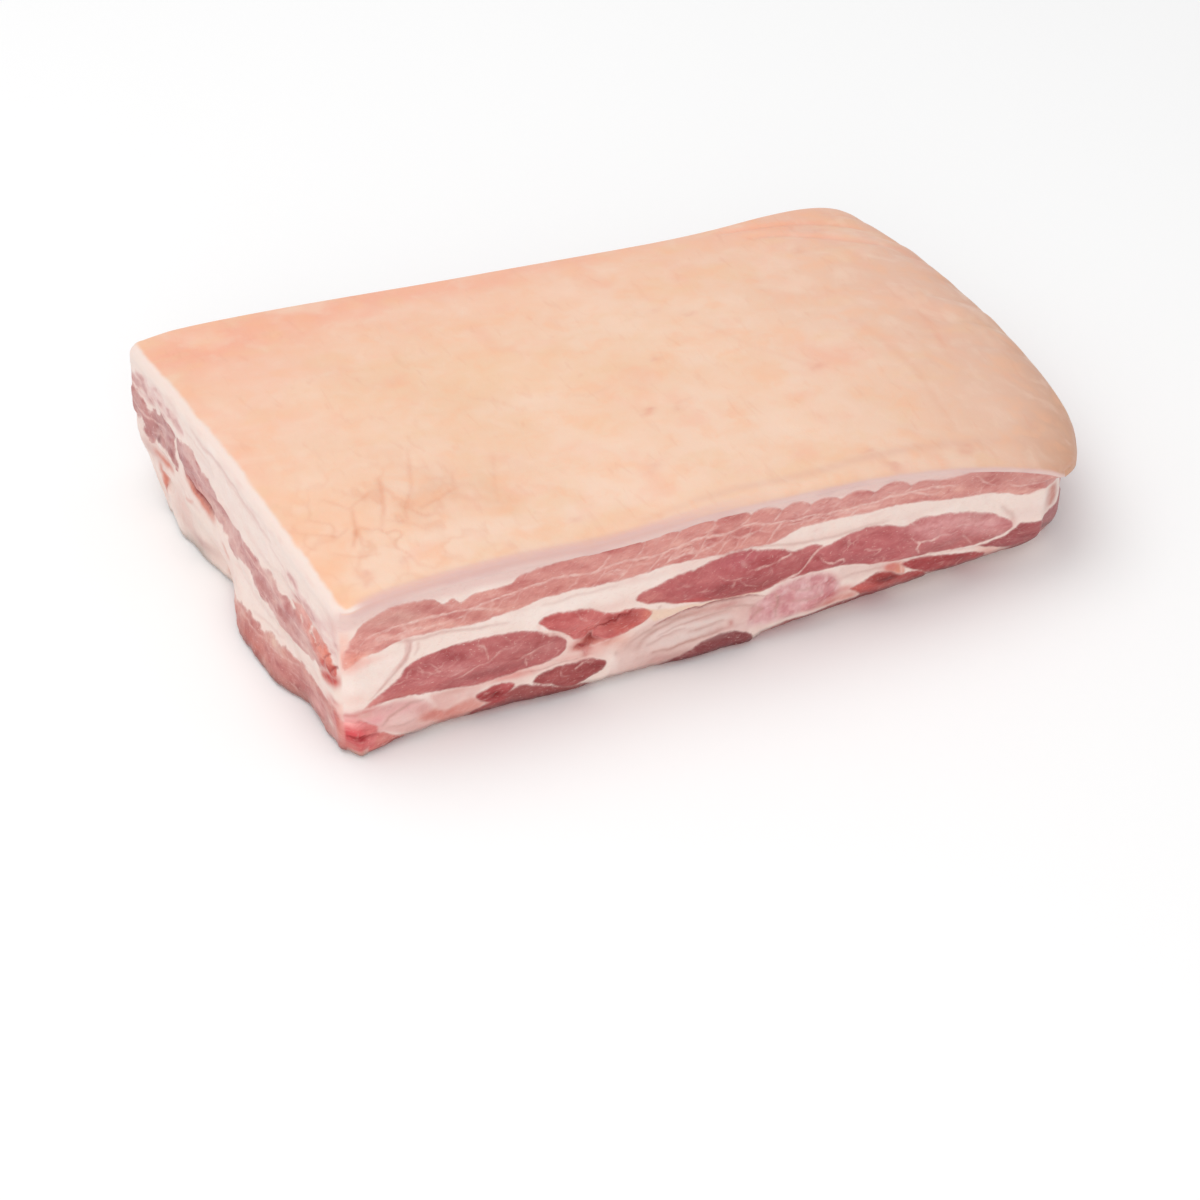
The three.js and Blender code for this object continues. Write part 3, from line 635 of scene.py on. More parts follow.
# The left side: its long leans as outlines of (y, z) points, and colours as above.
LEFT_MUSCLES = [
    ([(200, 41), (190, 40), (184, 38), (178, 37), (172, 39.6), (166, 41.4), (160, 42), (155, 40.4),
      (156, 35.6), (153, 32.3), (148, 30.2), (153, 27.6), (160, 29), (168, 28.4), (176, 26.6), (184, 29),
      (200, 30)], (202, 148, 143)),
    ([(152, 37), (148, 40.5), (143, 43.2), (136, 44.7), (129, 43.8), (121, 42.2), (114, 40.3),
      (110, 37.5), (107, 33.8), (101, 33.6), (95, 35.6), (90, 37.3), (83, 36), (76, 36), (68, 35.6),
      (61, 36.4), (53, 34.5), (48, 36), (43, 34.8), (38, 35.8), (33, 34), (28, 34), (21, 34), (15, 32.5),
      (11, 29), (18, 26.8), (27, 25.2), (38, 23.8), (48, 22.8), (54, 24.8), (62, 25.8), (71, 25.8),
      (79, 27.4), (87, 26.4), (95, 24.2), (103, 27), (112, 27.8), (122, 28.6), (132, 28.6),
      (141, 30.4)], (212, 163, 157)),
    ([(108, 3), (102, 7), (94, 9.6), (86, 10.4), (78, 11.2), (70, 11.8), (64, 11.6), (57, 14.2),
      (46, 15.2), (33, 17.3), (20, 17.5), (12, 16.6), (5, 17.6), (2, 13), (-1, 8), (-4, 3), (20, -3),
      (108, -3)], (206, 142, 134)),
    ([(44, 36), (40, 37.4), (35, 39.4), (29, 40), (26, 38.2), (27, 35), (23, 35.4), (19, 34.4), (15, 31),
      (8, 29), (14, 30), (24, 33), (34, 34.4)], (225, 162, 151)),
    ([(28, 36.2), (23, 38.6), (17, 40), (12, 39.4), (9, 35.4), (5, 33.6), (1.5, 32.4), (5, 30),
      (10, 29.5), (17, 32), (23, 34.6)], (221, 138, 122)),
]
# Pale pink lean in the back fat, in two patches; the fat shows through it.
LEFT_MOTTLED = [
    [(200, 46), (192, 44.8), (187, 48), (180, 50.8), (171, 52.2), (162, 53.6), (155, 52), (148, 52.4),
      (143, 51), (142, 48.5), (146, 44.4), (154, 45.4), (161, 43), (167, 40.5), (172, 41.6), (178, 39.6),
      (187, 38.8), (200, 41)],
    [(46, 48), (41, 50), (34, 51), (27, 50.2), (20, 48), (12, 50), (4, 49), (2, 44), (5, 37), (12, 37.6),
      (20, 38.8), (26, 39.5), (31, 42), (38, 38.4), (44, 38.8), (50, 43)],
]
# Local shades of its lean and of its fat, as above.
LEFT_FLESH_SHADES = [
    (150, 29.5, 6, 2, (192, 130, 125), 0.8), (168, 30.7, 2, 1.2, (132, 62, 62), 0.9),
    (180, 33, 6, 3, (206, 154, 150), 0.6), (161, 36, 6, 3.4, (219, 184, 179), 0.8),
    (143, 38, 8, 3, (206, 150, 147), 0.6), (121, 36, 12, 3, (206, 158, 157), 0.7),
    (100, 30, 10, 3, (222, 176, 169), 0.8), (84, 32, 9, 3, (216, 164, 158), 0.6),
    (70, 33.5, 12, 1.6, (223, 176, 168), 0.7), (52, 28.9, 26, 1.5, (198, 140, 134), 0.8),
    (34, 29.6, 12, 1.4, (200, 142, 136), 0.6), (48, 33, 8, 1.6, (222, 172, 166), 0.6),
    (30, 27, 10, 1.4, (219, 172, 165), 0.6), (20, 29, 6, 2, (212, 158, 150), 0.5),
    (36, 38, 5, 1.6, (229, 176, 166), 0.7), (33, 37.4, 6, 2, (238, 172, 160), 0.85),
    (22, 37, 5, 2.6, (228, 142, 128), 0.7), (12, 36, 5, 3.4, (226, 128, 110), 0.8),
    (4, 33, 3, 2.4, (216, 92, 76), 0.9), (11, 30.6, 6, 1.4, (202, 78, 66), 0.9),
    (24, 36.6, 4, 2, (216, 134, 120), 0.6), (173, 34, 5, 3, (184, 130, 128), 0.6),
    (156, 31.4, 5, 1.6, (160, 96, 98), 0.7), (140, 36, 8, 3, (184, 114, 112), 0.85),
    # (60, 3.6), (28, 4.5) and (56, 2.6): the darker reds along the lowest edge are partly painted shade
    # where the slab meets the floor.
    (125, 35, 8, 2.4, (202, 148, 146), 0.5), (60, 3.6, 40, 2.2, (164, 92, 86), 0.7),
    (85, 9, 14, 2, (216, 160, 150), 0.5), (10, 8, 4, 2, (226, 200, 190), 0.8),
    (176, 29.6, 6, 1.6, (176, 112, 112), 0.7), (146, 34, 4, 3, (180, 120, 120), 0.6),
    (30, 9, 8, 3, (196, 116, 110), 0.6), (70, 8.5, 8, 1.6, (190, 112, 106), 0.7),
    (90, 7, 6, 2, (214, 160, 150), 0.6), (60, 6, 12, 3, (198, 120, 112), 0.8),
    (80, 6, 8, 3, (202, 134, 124), 0.8), (48, 7.5, 9, 3, (191, 116, 112), 0.9),
    (40, 12, 9, 2.4, (207, 141, 133), 0.8), (53, 13, 7, 1.4, (216, 168, 156), 0.8),
    (20, 9, 7, 4, (218, 160, 155), 0.8), (10, 4.4, 5, 2, (206, 142, 135), 0.7),
    (30, 13.5, 8, 2, (212, 150, 142), 0.7), (5, 12, 3, 4, (204, 104, 102), 0.9),
    (2.5, 11, 1.4, 5, (232, 170, 158), 0.7), (28, 4.5, 14, 1.6, (178, 130, 121), 0.7),
    (56, 2.6, 14, 1.6, (182, 116, 108), 0.6)
]
LEFT_FAT_SHADES = [
    (5, 51, 6, 5, (226, 182, 174), 0.8), (175, 22, 8, 3, (212, 168, 160), 0.7),
    (120, 47, 14, 2, (228, 198, 190), 0.6), (185, 34, 6, 3, (228, 194, 186), 0.6),
    (96, 46, 50, 3, FAT_WHITE, 0.4), (176, 22, 12, 4, (214, 176, 168), 0.5),
    (132, 17, 20, 7, (233, 214, 203), 0.6), (148, 15, 9, 6, (228, 190, 180), 0.7),
    (132, 7, 9, 2.4, (190, 150, 144), 0.8), (146, 9, 8, 3, (214, 180, 170), 0.6),
    (66, 19, 24, 4, FAT_WHITE, 0.5), (40, 20.5, 18, 2.4, (234, 212, 202), 0.5),
    (160, 47.5, 4, 2, (214, 164, 158), 0.4), (6, 20, 4, 1.3, (204, 108, 106), 0.75),
    (10, 17.4, 3, 1.4, (212, 124, 124), 0.7), (3, 15.4, 3, 1.2, (202, 92, 96), 0.8),
    (1, 18.5, 2.4, 3.6, (241, 174, 155), 0.9), (6, 17, 5, 2.4, (230, 168, 160), 0.7),
    (5, 25, 6, 3.6, (240, 219, 207), 0.7), (1, 23.6, 1.4, 1.4, GREY, 0.5),
    (2, 42, 3, 6, (233, 192, 180), 0.6), (178, 8, 12, 4, (222, 192, 182), 0.5)
]
# Its clefts, the orange rims of its folds, the deep red cut near the front corner, the darker
# streaks of its fat, and the white seams of its lean, all as routes.
# The clefts get the painted shade of the finish: dark red in the gaps.
LEFT_CLEFTS = [
    (0.7, [(3, 35), (6, 33), (8.4, 30.4)], 0.7), (0.6, [(9, 37), (12, 34.4), (13.6, 31)], 0.6),
    (0.5, [(17, 38.6), (19, 35.6), (21, 33)], 0.6),
    (0.9, [(141, 31), (134, 29.2), (126, 28.8), (116, 28)], 0.9), (0.5, [(158, 32.4), (151, 30.4)]),
    (0.4, [(176, 34), (166, 33), (160, 30.6)]), (0.4, [(18, 25.4), (13, 26.5), (7, 28), (1, 31.4)], 0.9),
    (0.3, [(9, 29), (5, 30.2)], 0.7), (0.2, [(45, 36), (38, 34.8), (30, 33.6)]),
    (0.5, [(28, 35.6), (24, 34.8), (19, 33.2)]), (0.5, [(112, 12), (115, 8), (113, 3)], 1.0),
    (0.6, [(165, 13), (164, 9)], 0.9), (0.35, [(175, 26), (160, 26), (150, 28)]),
]
LEFT_ORANGE = [
    (1.0, [(168, 20), (167, 15), (164, 9)], 2.0), (1.0, [(172, 23), (160, 24), (154, 24.6)], 1.6),
    (0.9, [(117, 9), (113, 5)], 1.6), (1.0, [(142, 30), (134, 28), (126, 27.4), (114, 26.6)], 1.7),
    (0.6, [(108, 22), (101, 19)], 1.0), (0.8, [(17, 25.2), (7, 28), (1, 31)], 1.3),
    (0.5, [(141, 21.4), (134, 23.6)], 0.8), (0.7, [(78, 5.4), (60, 6)], 0.8),
    (0.6, [(4, 15), (3, 8)], 0.9),
]
LEFT_HOLLOW = [(1.0, [(15, 26), (8, 27.8), (1, 31)], 2.2)]
LEFT_STREAKS = [
    (0.8, [(133, 54.4), (121, 54), (107, 55.4), (93, 54.6), (73, 52.6), (58, 52)], 0.9),
    (0.5, [(102, 53.2), (85, 52.6), (70, 50.6)]), (0.5, [(60, 50), (48, 48), (40, 45)]),
    (0.4, [(140, 50), (126, 50.6), (112, 49.8)]), (0.5, [(75, 13.3), (62, 15.6), (50, 17.4)]),
    (0.5, [(38, 16.6), (25, 18.2)]), (0.4, [(150, 24), (138, 22), (126, 23.4)]),
    (0.35, [(92, 21), (78, 18.6), (60, 19)]), (0.4, [(172, 24), (176, 19), (174, 12)]),
]
LEFT_SEAMS = [
    (0.8, [(196, 34), (182, 33), (172, 34.6), (163, 36.4)]), (0.6, [(176, 29.4), (168, 32.4), (160, 33)]),
    (0.8, [(134, 35.2), (131, 31.7), (128, 30.2)]), (0.6, [(144, 40), (134, 39), (124, 38.4), (114, 36)]),
    (0.5, [(126, 33), (116, 31), (106, 30)]), (0.7, [(88, 34), (76, 32.4), (62, 33), (50, 31.6)]),
    (0.5, [(70, 28.2), (56, 27), (44, 26.6)]), (0.6, [(44, 31.6), (34, 31.4), (24, 32.2)]),
    (0.6, [(95, 8), (83, 9.4), (70, 9), (58, 10.6)]), (0.6, [(60, 10.4), (48, 12), (36, 14.4)]),
    (0.5, [(44, 9.6), (34, 9.4), (24, 13)]), (0.6, [(26, 15), (16, 12), (9, 7)]),
]

MASKS = ("lean", "seam", "cleft", "soft")


def blank_tissue(count):
    """No lean, no lines, plain fat for this many points."""
    tissue = {name: np.zeros(count) for name in MASKS}
    tissue["lean"] -= FAR
    tissue["flesh"] = evenly(RED, count)
    tissue["fat"] = evenly(FAT, count)
    return tissue


def with_muscles(lean, flesh, place, height, muscles):
    """Joins muscles to the lean, which takes the greatest depth of all, and lays their colour over
    the flesh: from 1.2 mm outside to 0.2 mm inside, or over a blend of its own to both sides."""
    for outline, colour, *blend in muscles:
        depth = inside_depth(place, height, outline)
        start, end = (-blend[0], blend[0]) if blend else (-1.2, 0.2)
        flesh = lay(flesh, colour, smooth(depth, start, end))
        lean = np.maximum(lean, depth)
    return lean, flesh


def add_shades(colours, place, height, shades):
    """Lays soft ovals of colour over a field of colours, one after the other."""
    for at, up, wide, high, colour, strength in shades:
        colours = lay(colours, colour, strength * spot(place, height, at, up, wide, high))
    return colours


DARKER = np.array([0.8, 0.56, 0.58])             # what the streaks of the lean do to its colour
PALER = np.array([1.12, 1.3, 1.26])


def streaked(flesh, place, height, lean_over, seed, depth=0.8):
    """Soft streaks of darker and paler flesh, from random waves twice as long as they are high that
    lean over by so much per millimetre of height."""
    tone = fractal((place + lean_over * height) * 0.5, height * 1.15, 5, 4, seed)
    flesh = lay(flesh, flesh * DARKER, smooth(tone, 0.0, 1.2) * depth)
    return lay(flesh, flesh * PALER, smooth(-tone, 0.2, 1.3) * depth)


def clouded_fat(fat, place, height, seed):
    """Rosy and white clouds in the fat: random waves two or three times as long as high."""
    fat = lay(fat, FAT_ROSY, smooth(fractal(place * 0.4, height * 1.2, 5, 3, seed), 0.0, 1.1) * 0.65)
    return lay(fat, FAT_WHITE, smooth(fractal(place * 0.5, height, 7, 3, seed + 9), 0.1, 1.2) * 0.6)


NOTCH_DEPTH = 2.8


def upper_lean(x, z):
    """Signed depth in the upper lean of the front side. Between two notches its top is a hump,
    the square root of half a sine wave."""
    phase = np.interp(x, NOTCHES, np.arange(len(NOTCHES)))
    hump = np.abs(np.sin(np.pi * phase)) ** 0.5
    crest = along(UPPER_TOP, x) - NOTCH_DEPTH * (1 - hump) * smooth(x, 96, 104) * smooth(x, 228, 220)
    return np.minimum(crest - z, z - along(UPPER_BOTTOM, x))


def upper_seams():
    """Pale lines in the upper lean: one runs down to the left from each notch, slanted ones cross
    its lower half about every 10 mm, and links between them make a net in the middle stretch."""
    dice = np.random.default_rng(8)
    routes = []
    for notch in NOTCHES[:-1]:
        top, middle = along(UPPER_TOP, notch) - 2.6, along(UPPER_MIDDLE, notch)
        reach = dice.uniform(0.5, 1.0)
        routes.append((0.8, [(notch, top), (notch - 1.4, mix(top, middle, 0.5 * reach)),
                              (notch - 4.6 * reach, mix(top, middle, reach))]))
    for x in np.arange(18, 240, 9.7) + dice.uniform(-2.5, 2.5, 23):
        crest, middle, bottom = [along(line, x) for line in (UPPER_TOP, UPPER_MIDDLE, UPPER_BOTTOM)]
        fork = (x - 2.4, mix(middle, bottom, 0.45))
        netted = smooth(x, 88, 104) * smooth(x, 206, 190)
        routes.append((dice.uniform(0.35, 0.62) + 0.3 * netted,
                       [(x, middle), fork, (x - 6, mix(middle, bottom, 0.95))]))
        if netted > 0.5:
            routes.append((dice.uniform(0.5, 0.85),
                           [fork, (x + 2, mix(middle, bottom, 0.3)), (x + 7, mix(middle, bottom, 0.5))]))
            branch = [(x, middle), (x + 3, mix(middle, crest, 0.35)), (x + 7, mix(middle, crest, 0.3))]
            routes.append((dice.uniform(0.3, 0.6), branch))
    return routes


def front_tissue(x, z, under):
    """All tissues of the front side at places (x, z), which random waves shift a little; under is
    the depth below the top. Lean first, then the fat, then the lines on both."""
    x, z = x + 0.55 * fractal(x, z, 8, 4, 3), z + 0.35 * fractal(x, z, 6, 4, 43)
    upper = upper_lean(x, z)
    band = np.where(x < 280, smooth(upper, -1.5, 0.5), 0)
    above = smooth(z - along(UPPER_MIDDLE, x), -0.8, 0.8)
    flesh = lay(lay(evenly(RED, len(x)), SALMON, band), ROSE, band * above * smooth(x, 150, 175))
    lean, flesh = with_muscles(np.maximum(upper, -FAR), flesh, x, z, LOWER_MUSCLES)
    strip = np.clip(along(LOW_STRIP, x) - z, -FAR, FAR)
    flesh = lay(flesh, STRIP_RED, smooth(strip, -1.2, 0.2))
    flesh = add_shades(flesh, x, z, FLESH_SHADES)
    flesh = streaked(flesh, x, z, 1.3, 61, 0.9)
    flesh = streaked(flesh, x * 2.4, z * 1.7, -0.6, 67, 0.5)
    fat_rim = x - 3.2 + 2.6 * spot(x, z, 0, 38, 20, 6)
    lean = np.minimum(np.maximum(lean, strip), np.where(z > 15.5, fat_rim, FAR))

    fat = clouded_fat(evenly(FAT, len(x)), x, z, 71)
    for outline, colour, softness in PALE_PARTS:
        fat = lay(fat, colour, smooth(inside_depth(x, z, outline), -softness, softness))
    fat = add_shades(fat, x, z, FAT_SHADES)
    fat = lay(fat, FAT_BAND, smooth(under, 8.5, 5.0))
    streaks = smooth(fractal(x * 0.3, z, 3, 2, 75), 0.1, 0.9)
    fat = lay(fat, FAT_LILAC, streaks * smooth(under, 8.0, 4.0) * 0.5)
    grain = fractal(x, z, 2.4, 3, 81)
    spongy = smooth(inside_depth(x, z, PALE_PARTS[1][0]), -1, 1)
    for colour, grains in ((SPONGE_DARK, grain), (SPONGE_PALE, -grain)):
        fat = lay(fat, colour, spongy * smooth(grains, 0.05, 0.9) * 0.6)
    # thin lines, partly painted shade along folds and creases
    fat = lay(fat, FOLD_SHADE_MAUVE, line_mask(x, z, FRONT_CREASES))
    seam_x, seam_z = x + 0.45 * fractal(x, z, 2.8, 2, 93), z + 0.35 * fractal(x, z, 2.4, 2, 94)
    seam = line_mask(seam_x, seam_z, FRONT_SEAMS + upper_seams()) * (0.85 + 0.3 * unevenness(x, z, 3, 95))
    off_middle = (seam_z - along(UPPER_MIDDLE, seam_x)) / 0.6
    middle = np.exp(-off_middle ** 2) * smooth(x, 6, 12) * smooth(x, 236, 226)
    seam = np.maximum(seam, middle * (0.86 + 0.12 * unevenness(x, z, 11, 91)))
    return {"lean": lean, "seam": seam, "cleft": line_mask(x, z, FRONT_CLEFTS), "soft": spongy,
            "flesh": flesh, "fat": fat}


def left_tissue(y, z):
    """All tissues of the left side at places (y, z), which random waves shift a little. Lean first,
    with a ragged edge, then the fat, then the lines on both."""
    y, z = y + 0.7 * fractal(y, z, 9, 4, 103), z + 0.4 * fractal(y, z, 6, 4, 143)
    nothing = np.zeros(len(y))
    lean, flesh = with_muscles(nothing - FAR, evenly(RED, len(y)), y, z, LEFT_MUSCLES)
    ragged = 0.5 + 0.6 * smooth(y, 110, 150)
    lean = np.maximum(0.7 * lean + ragged * fractal(y * 0.7, z, 3, 3, 153), -FAR)
    lean = np.minimum(lean, np.where((z > 34) | ((z > 18) & (z < 29)), y - 1.2, FAR))
    flesh = add_shades(flesh, y, z, LEFT_FLESH_SHADES)
    flesh = streaked(streaked(flesh, y, z, -0.6, 161), y * 2, z * 1.6, 0.2, 167)
    fat = add_shades(clouded_fat(evenly(FAT, len(y)), y, z, 171), y, z, LEFT_FAT_SHADES)
    streaks = fractal(y * 0.5, z, 4, 4, 151)
    for outline in LEFT_MOTTLED:
        patch = smooth(inside_depth(y, z, outline), -1.5, 2.0)
        fat = lay(fat, MOTTLE_PALE, patch * smooth(streaks, -0.9, 0.3) * 0.9)
        fat = lay(fat, MOTTLE_DARK, patch * smooth(streaks, 0.05, 0.9) * 0.85)
    fat = lay(fat, STREAK, line_mask(y, z, LEFT_STREAKS))
    fat = lay(fat, GREY, 0.8 * spot(y, z, 136, 3.4, 10, 2.2))
    orange = line_mask(y, z, LEFT_ORANGE)
    fat = lay(fat, ORANGE_RIM, orange)
    fat = lay(fat, HOLLOW_RED, line_mask(y, z, LEFT_HOLLOW))
    return {"lean": lean, "seam": line_mask(y, z, LEFT_SEAMS), "cleft": line_mask(y, z, LEFT_CLEFTS),
            "soft": nothing, "flesh": lay(flesh, ORANGE_LEAN, orange * 0.8), "fat": fat}


def blended_tissue(first, second, share):
    """first + (second - first) * share for every value and colour of two sets of tissues."""
    return {name: mix(values, second[name], share[:, None] if values.ndim == 2 else share)
            for name, values in first.items()}


TURN = 277.0                   # x at which the bands of the front turn round to the right side
BACK_END = 294.0               # x of the right end of the back, which repeats the front from
BACK_START = 85.0              # this x on, drawn out by 1 / BACK_STRETCH
BACK_STRETCH = 0.64
NUB = (203, 132, 118)          # a brown nub of lean at the right front corner


def side_tissue(a, b, x, y, z, top):
    """Tissues of every point on the sides. The right continues the front round the corner, and
    the back continues the right, both stretched to the local height of the top; the back melts
    into the left over its last stretch."""
    under = top - z
    whole = blank_tissue(len(x))

    def put(on, part):
        for name in whole:
            whole[name][on] = part[name]

    def continued(on, place):
        crest = rind_height(place, place * 0)
        return front_tissue(place, z[on] * crest / np.maximum(top[on], 1), under[on])

    on = b == 1
    from_end = continued(on, BACK_START + (BACK_END - x[on]) * BACK_STRETCH)
    put(on, blended_tissue(from_end, left_tissue(y[on] * 0 + WIDTH, z[on]), smooth(x[on], 30, -2)))
    on = a == 1
    turned = continued(on, TURN - y[on])
    nub = smooth(spot(y[on], z[on], 3, 27, 4, 5), 0.3, 0.6)
    for layer in ("fat", "flesh"):
        turned[layer] = lay(turned[layer], NUB, nub)
    put(on, turned)
    on = a == 0
    put(on, blended_tissue(left_tissue(y[on], z[on]), front_tissue(-y[on], z[on], under[on]),
                           smooth(y[on], 5, 0)))
    on = b == 0
    put(on, front_tissue(x[on], z[on], under[on]))
    return whole


# Relief of the cut sides in millimetres: lean stands out, seams and clefts lie in, and all is rough.
SWELL = 0.55
GROOVE_DEPTH = 0.25
CLEFT_DEPTH = 1.2
ROUGH = 0.35


def side_relief(tissue, place, z, under_rind):
    """How far the cut side stands out: lean swells a little above the fat that holds it, seams
    lie in fine grooves, clefts go deep as their strength^1.5, and small waves go all over."""
    swell = SWELL * smooth(tissue["lean"], -0.4, 2.0)
    groove = -GROOVE_DEPTH * tissue["seam"] - CLEFT_DEPTH * tissue["cleft"] ** 1.5
    rough = ROUGH * fractal(place, z, 7, 3, 21) + ROUGH * tissue["soft"] * fractal(place, z, 2.5, 2, 25)
    return (swell + groove + rough) * smooth(under_rind, -0.5, 2.5)


# Columns of the grid round the slab, from the left front corner along front, right, back and
# left, and rows from the underside to the rind.
COLUMNS = (440, 80, 140, 236)
ROWS = 98


def ring(columns):
    """Shares (a, b) of the outline of the unit square, with so many steps on each side."""
    front, right, back, left = [np.arange(count) / count for count in columns]
    a = np.concatenate([front, np.ones(len(right)), 1 - back, np.zeros(len(left))])
    b = np.concatenate([np.zeros(len(front)), right, np.ones(len(back)), 1 - left])
    return a, b


def inside_edge(share, size):
    """Distance from the nearer end of a side of this size."""
    return np.minimum(share, 1 - share) * size


def below_top(a, b, depth):
    """Points of the slab at this depth below its top, and the height of the top."""
    height = slab_point(a, b, np.ones(len(a)))[3]
    return slab_point(a, b, 1 - depth / height)


def halved_quads(first, second, third, fourth):
    """Two triangles for each four corners, cut from the first to the third."""
    return np.concatenate([np.stack([first, second, third], 1), np.stack([first, third, fourth], 1)])


def halving_cap(count, rings, halved):
    """Triangles that close a ring of vertices by smaller rings inside it and one middle point.
    The ring after each step named in halved has half as many vertices. Vertex numbers run on
    from the outer ring; returns the triangles and the size of each ring."""
    triangles = []
    sizes = [count]
    start = 0
    for step in range(rings):
        size = sizes[-1]
        outer = start + np.arange(size)
        following = start + (np.arange(size) + 1) % size
        if step in halved:
            inner = start + size + np.arange(size // 2)
            after = np.roll(inner, -1)
            even, odd, last = outer[0::2], outer[1::2], following[1::2]
            triangles += [np.stack([even, odd, inner], 1), np.stack([odd, last, after], 1),
                          np.stack([odd, after, inner], 1)]
            sizes.append(size // 2)
        else:
            inner = start + size + np.arange(size)
            after = np.roll(inner, -1)
            triangles += [np.stack([outer, following, inner], 1), np.stack([following, after, inner], 1)]
            sizes.append(size)
        start += size
    outer = start + np.arange(sizes[-1])
    triangles.append(np.stack([outer, np.roll(outer, -1), np.full(sizes[-1], start + sizes[-1])], 1))
    return np.concatenate(triangles), sizes


def shrunk_rings(a, b, sizes):
    """Shares of the rings of a cap: the outline drawn towards the middle in even steps, and the
    middle itself. Rings of half the size take every second point."""
    reach = 1 - np.arange(len(sizes)) / len(sizes)
    pick = [slice(None, None, len(a) // size) for size in sizes]
    ring_a = [0.5 + (a[every] - 0.5) * share for every, share in zip(pick, reach)]
    ring_b = [0.5 + (b[every] - 0.5) * share for every, share in zip(pick, reach)]
    return np.concatenate(ring_a + [[0.5]]), np.concatenate(ring_b + [[0.5]])


def make_piece(name, points, triangles, attributes):
    """A mesh object at the origin from points in millimetres. Its attributes are values, vectors
    for the grain, and colours for the rest."""
    mesh = bpy.data.meshes.new(name)
    mesh.vertices.add(len(points))
    mesh.vertices.foreach_set("co", (corner + points * 0.001).astype(np.float32).ravel())
    mesh.loops.add(triangles.size)
    mesh.loops.foreach_set("vertex_index", triangles.astype(np.int32).ravel())
    mesh.polygons.add(len(triangles))
    mesh.polygons.foreach_set("loop_start", np.arange(0, triangles.size, 3, dtype=np.int32))
    mesh.polygons.foreach_set("loop_total", np.full(len(triangles), 3, dtype=np.int32))
    mesh.polygons.foreach_set("use_smooth", np.ones(len(triangles), dtype=bool))
    for key, values in attributes.items():
        kind, slot = ("FLOAT", "value")
        if key == "grain":
            kind, slot = ("FLOAT_VECTOR", "vector")
        elif values.ndim == 2:
            kind, slot = ("FLOAT_COLOR", "color")
            values = np.concatenate([values, np.ones((len(values), 1))], 1)
        mesh.attributes.new(key, kind, "POINT").data.foreach_set(slot, values.astype(np.float32).ravel())
    mesh.update(calc_edges=True)
    mesh.validate()
    piece = bpy.data.objects.new(name, mesh)
    bpy.context.scene.collection.objects.link(piece)
    return piece


# Painted shade: the colours of the sides are made darker along their lowest edge, where the slab meets the
# floor.
PAINTED_FOOT_SHADE = 0.4               # how much darker the meat is at its lowest edge

# Sides, from the underside to the lower face of the rind.
ring_a, ring_b = ring(COLUMNS)
ring_size = len(ring_a)
rim_top = slab_point(ring_a, ring_b, np.ones(ring_size))[3]
side_a = np.tile(ring_a, ROWS + 1)
side_b = np.tile(ring_b, ROWS + 1)
side_c = (np.arange(ROWS + 1)[:, None] / ROWS * (1 - RIND / rim_top)).ravel()
x, y, z, top = slab_point(side_a, side_b, side_c)
place_along = np.where((side_a == 0) | (side_a == 1), y, x)
tissue = side_tissue(side_a, side_b, x, y, z, top)
fine = side_relief(tissue, place_along, z, top - z - RIND)
held = smooth(top - z - RIND, 0, 3)
fine = fine + 0.5 * fractal(place_along, z, 9, 3, 29) * smooth(z, 9, 3)
rise = z - np.tile(z[:ring_size], ROWS + 1)
# painted shade along the lowest edge, from 2.4 mm above it down to the edge
for layer in ("flesh", "fat"):
    tissue[layer] = tissue[layer] * (1 - PAINTED_FOOT_SHADE * smooth(rise, 2.4, 0.2))[:, None]
turn_x = smooth(inside_edge(side_a, LENGTH), 0, 4)
turn_y = smooth(inside_edge(side_b, WIDTH), 0, 4)
y = y - np.where(side_b == 0, (domes(FRONT_DOMES, x, z) * held + fine) * turn_x, 0)
y = y + np.where(side_b == 1, (domes(BACK_DOMES, x, z) * held + fine) * turn_x, 0)
x = x - np.where(side_a == 0, (domes(LEFT_DOMES, y, z) * held + fine) * turn_y, 0)
x = x + np.where(side_a == 1, (domes(RIGHT_DOMES, y, z) * held + fine) * turn_y, 0)
side_points = np.stack([x, y, z], 1)
tissue["grain"] = np.stack([place_along, z, side_a * 90 + side_b * 40], 1)

row, column = np.meshgrid(np.arange(ROWS), np.arange(ring_size), indexing="ij")
here = (row * ring_size + column).ravel()
beside = (row * ring_size + (column + 1) % ring_size).ravel()
side_triangles = halved_quads(here, beside, beside + ring_size, here + ring_size)

# Underside: thin skin over lean that shows between the marks of the ribs.
UNDER_RINGS = 38
RIB_STEP = 34.0                # from one rib mark to the next
under_triangles, under_sizes = halving_cap(ring_size, UNDER_RINGS, (1, 6, 18, 30))
under_a, under_b = shrunk_rings(ring_a, ring_b, under_sizes)
ux, uy, uz, _ = slab_point(under_a, under_b, under_a * 0)
inner = smooth(np.minimum(inside_edge(under_a, LENGTH), inside_edge(under_b, WIDTH)), 4, 26)
ribs = np.cos(2 * np.pi * (ux * 0.9 + uy * 0.35 + 5 * unevenness(ux, uy, 50, 31)) / RIB_STEP)
uz = uz + inner * (0.9 * smooth(ribs, 0.1, 0.9) + 0.4 * (1 + unevenness(ux, uy, 14, 32)))
under_part = blank_tissue(len(ux))
under_part["lean"] = 1.6 * smooth(-ribs, -0.2, 0.9) + 2.2 * fractal(ux * 0.5, uy, 12, 4, 33) - 0.6
for layer, base, over, size, seed in (("flesh", RED_PALE, RED, 16, 35), ("fat", MEMBRANE, FAT_ROSY, 20, 37)):
    patches = smooth(fractal(ux, uy, size, 3, seed), -0.3, 0.8)
    under_part[layer] = lay(evenly(base, len(ux)), over, patches)
under_part["grain"] = np.stack([ux, uy, ux * 0 + 200], 1)

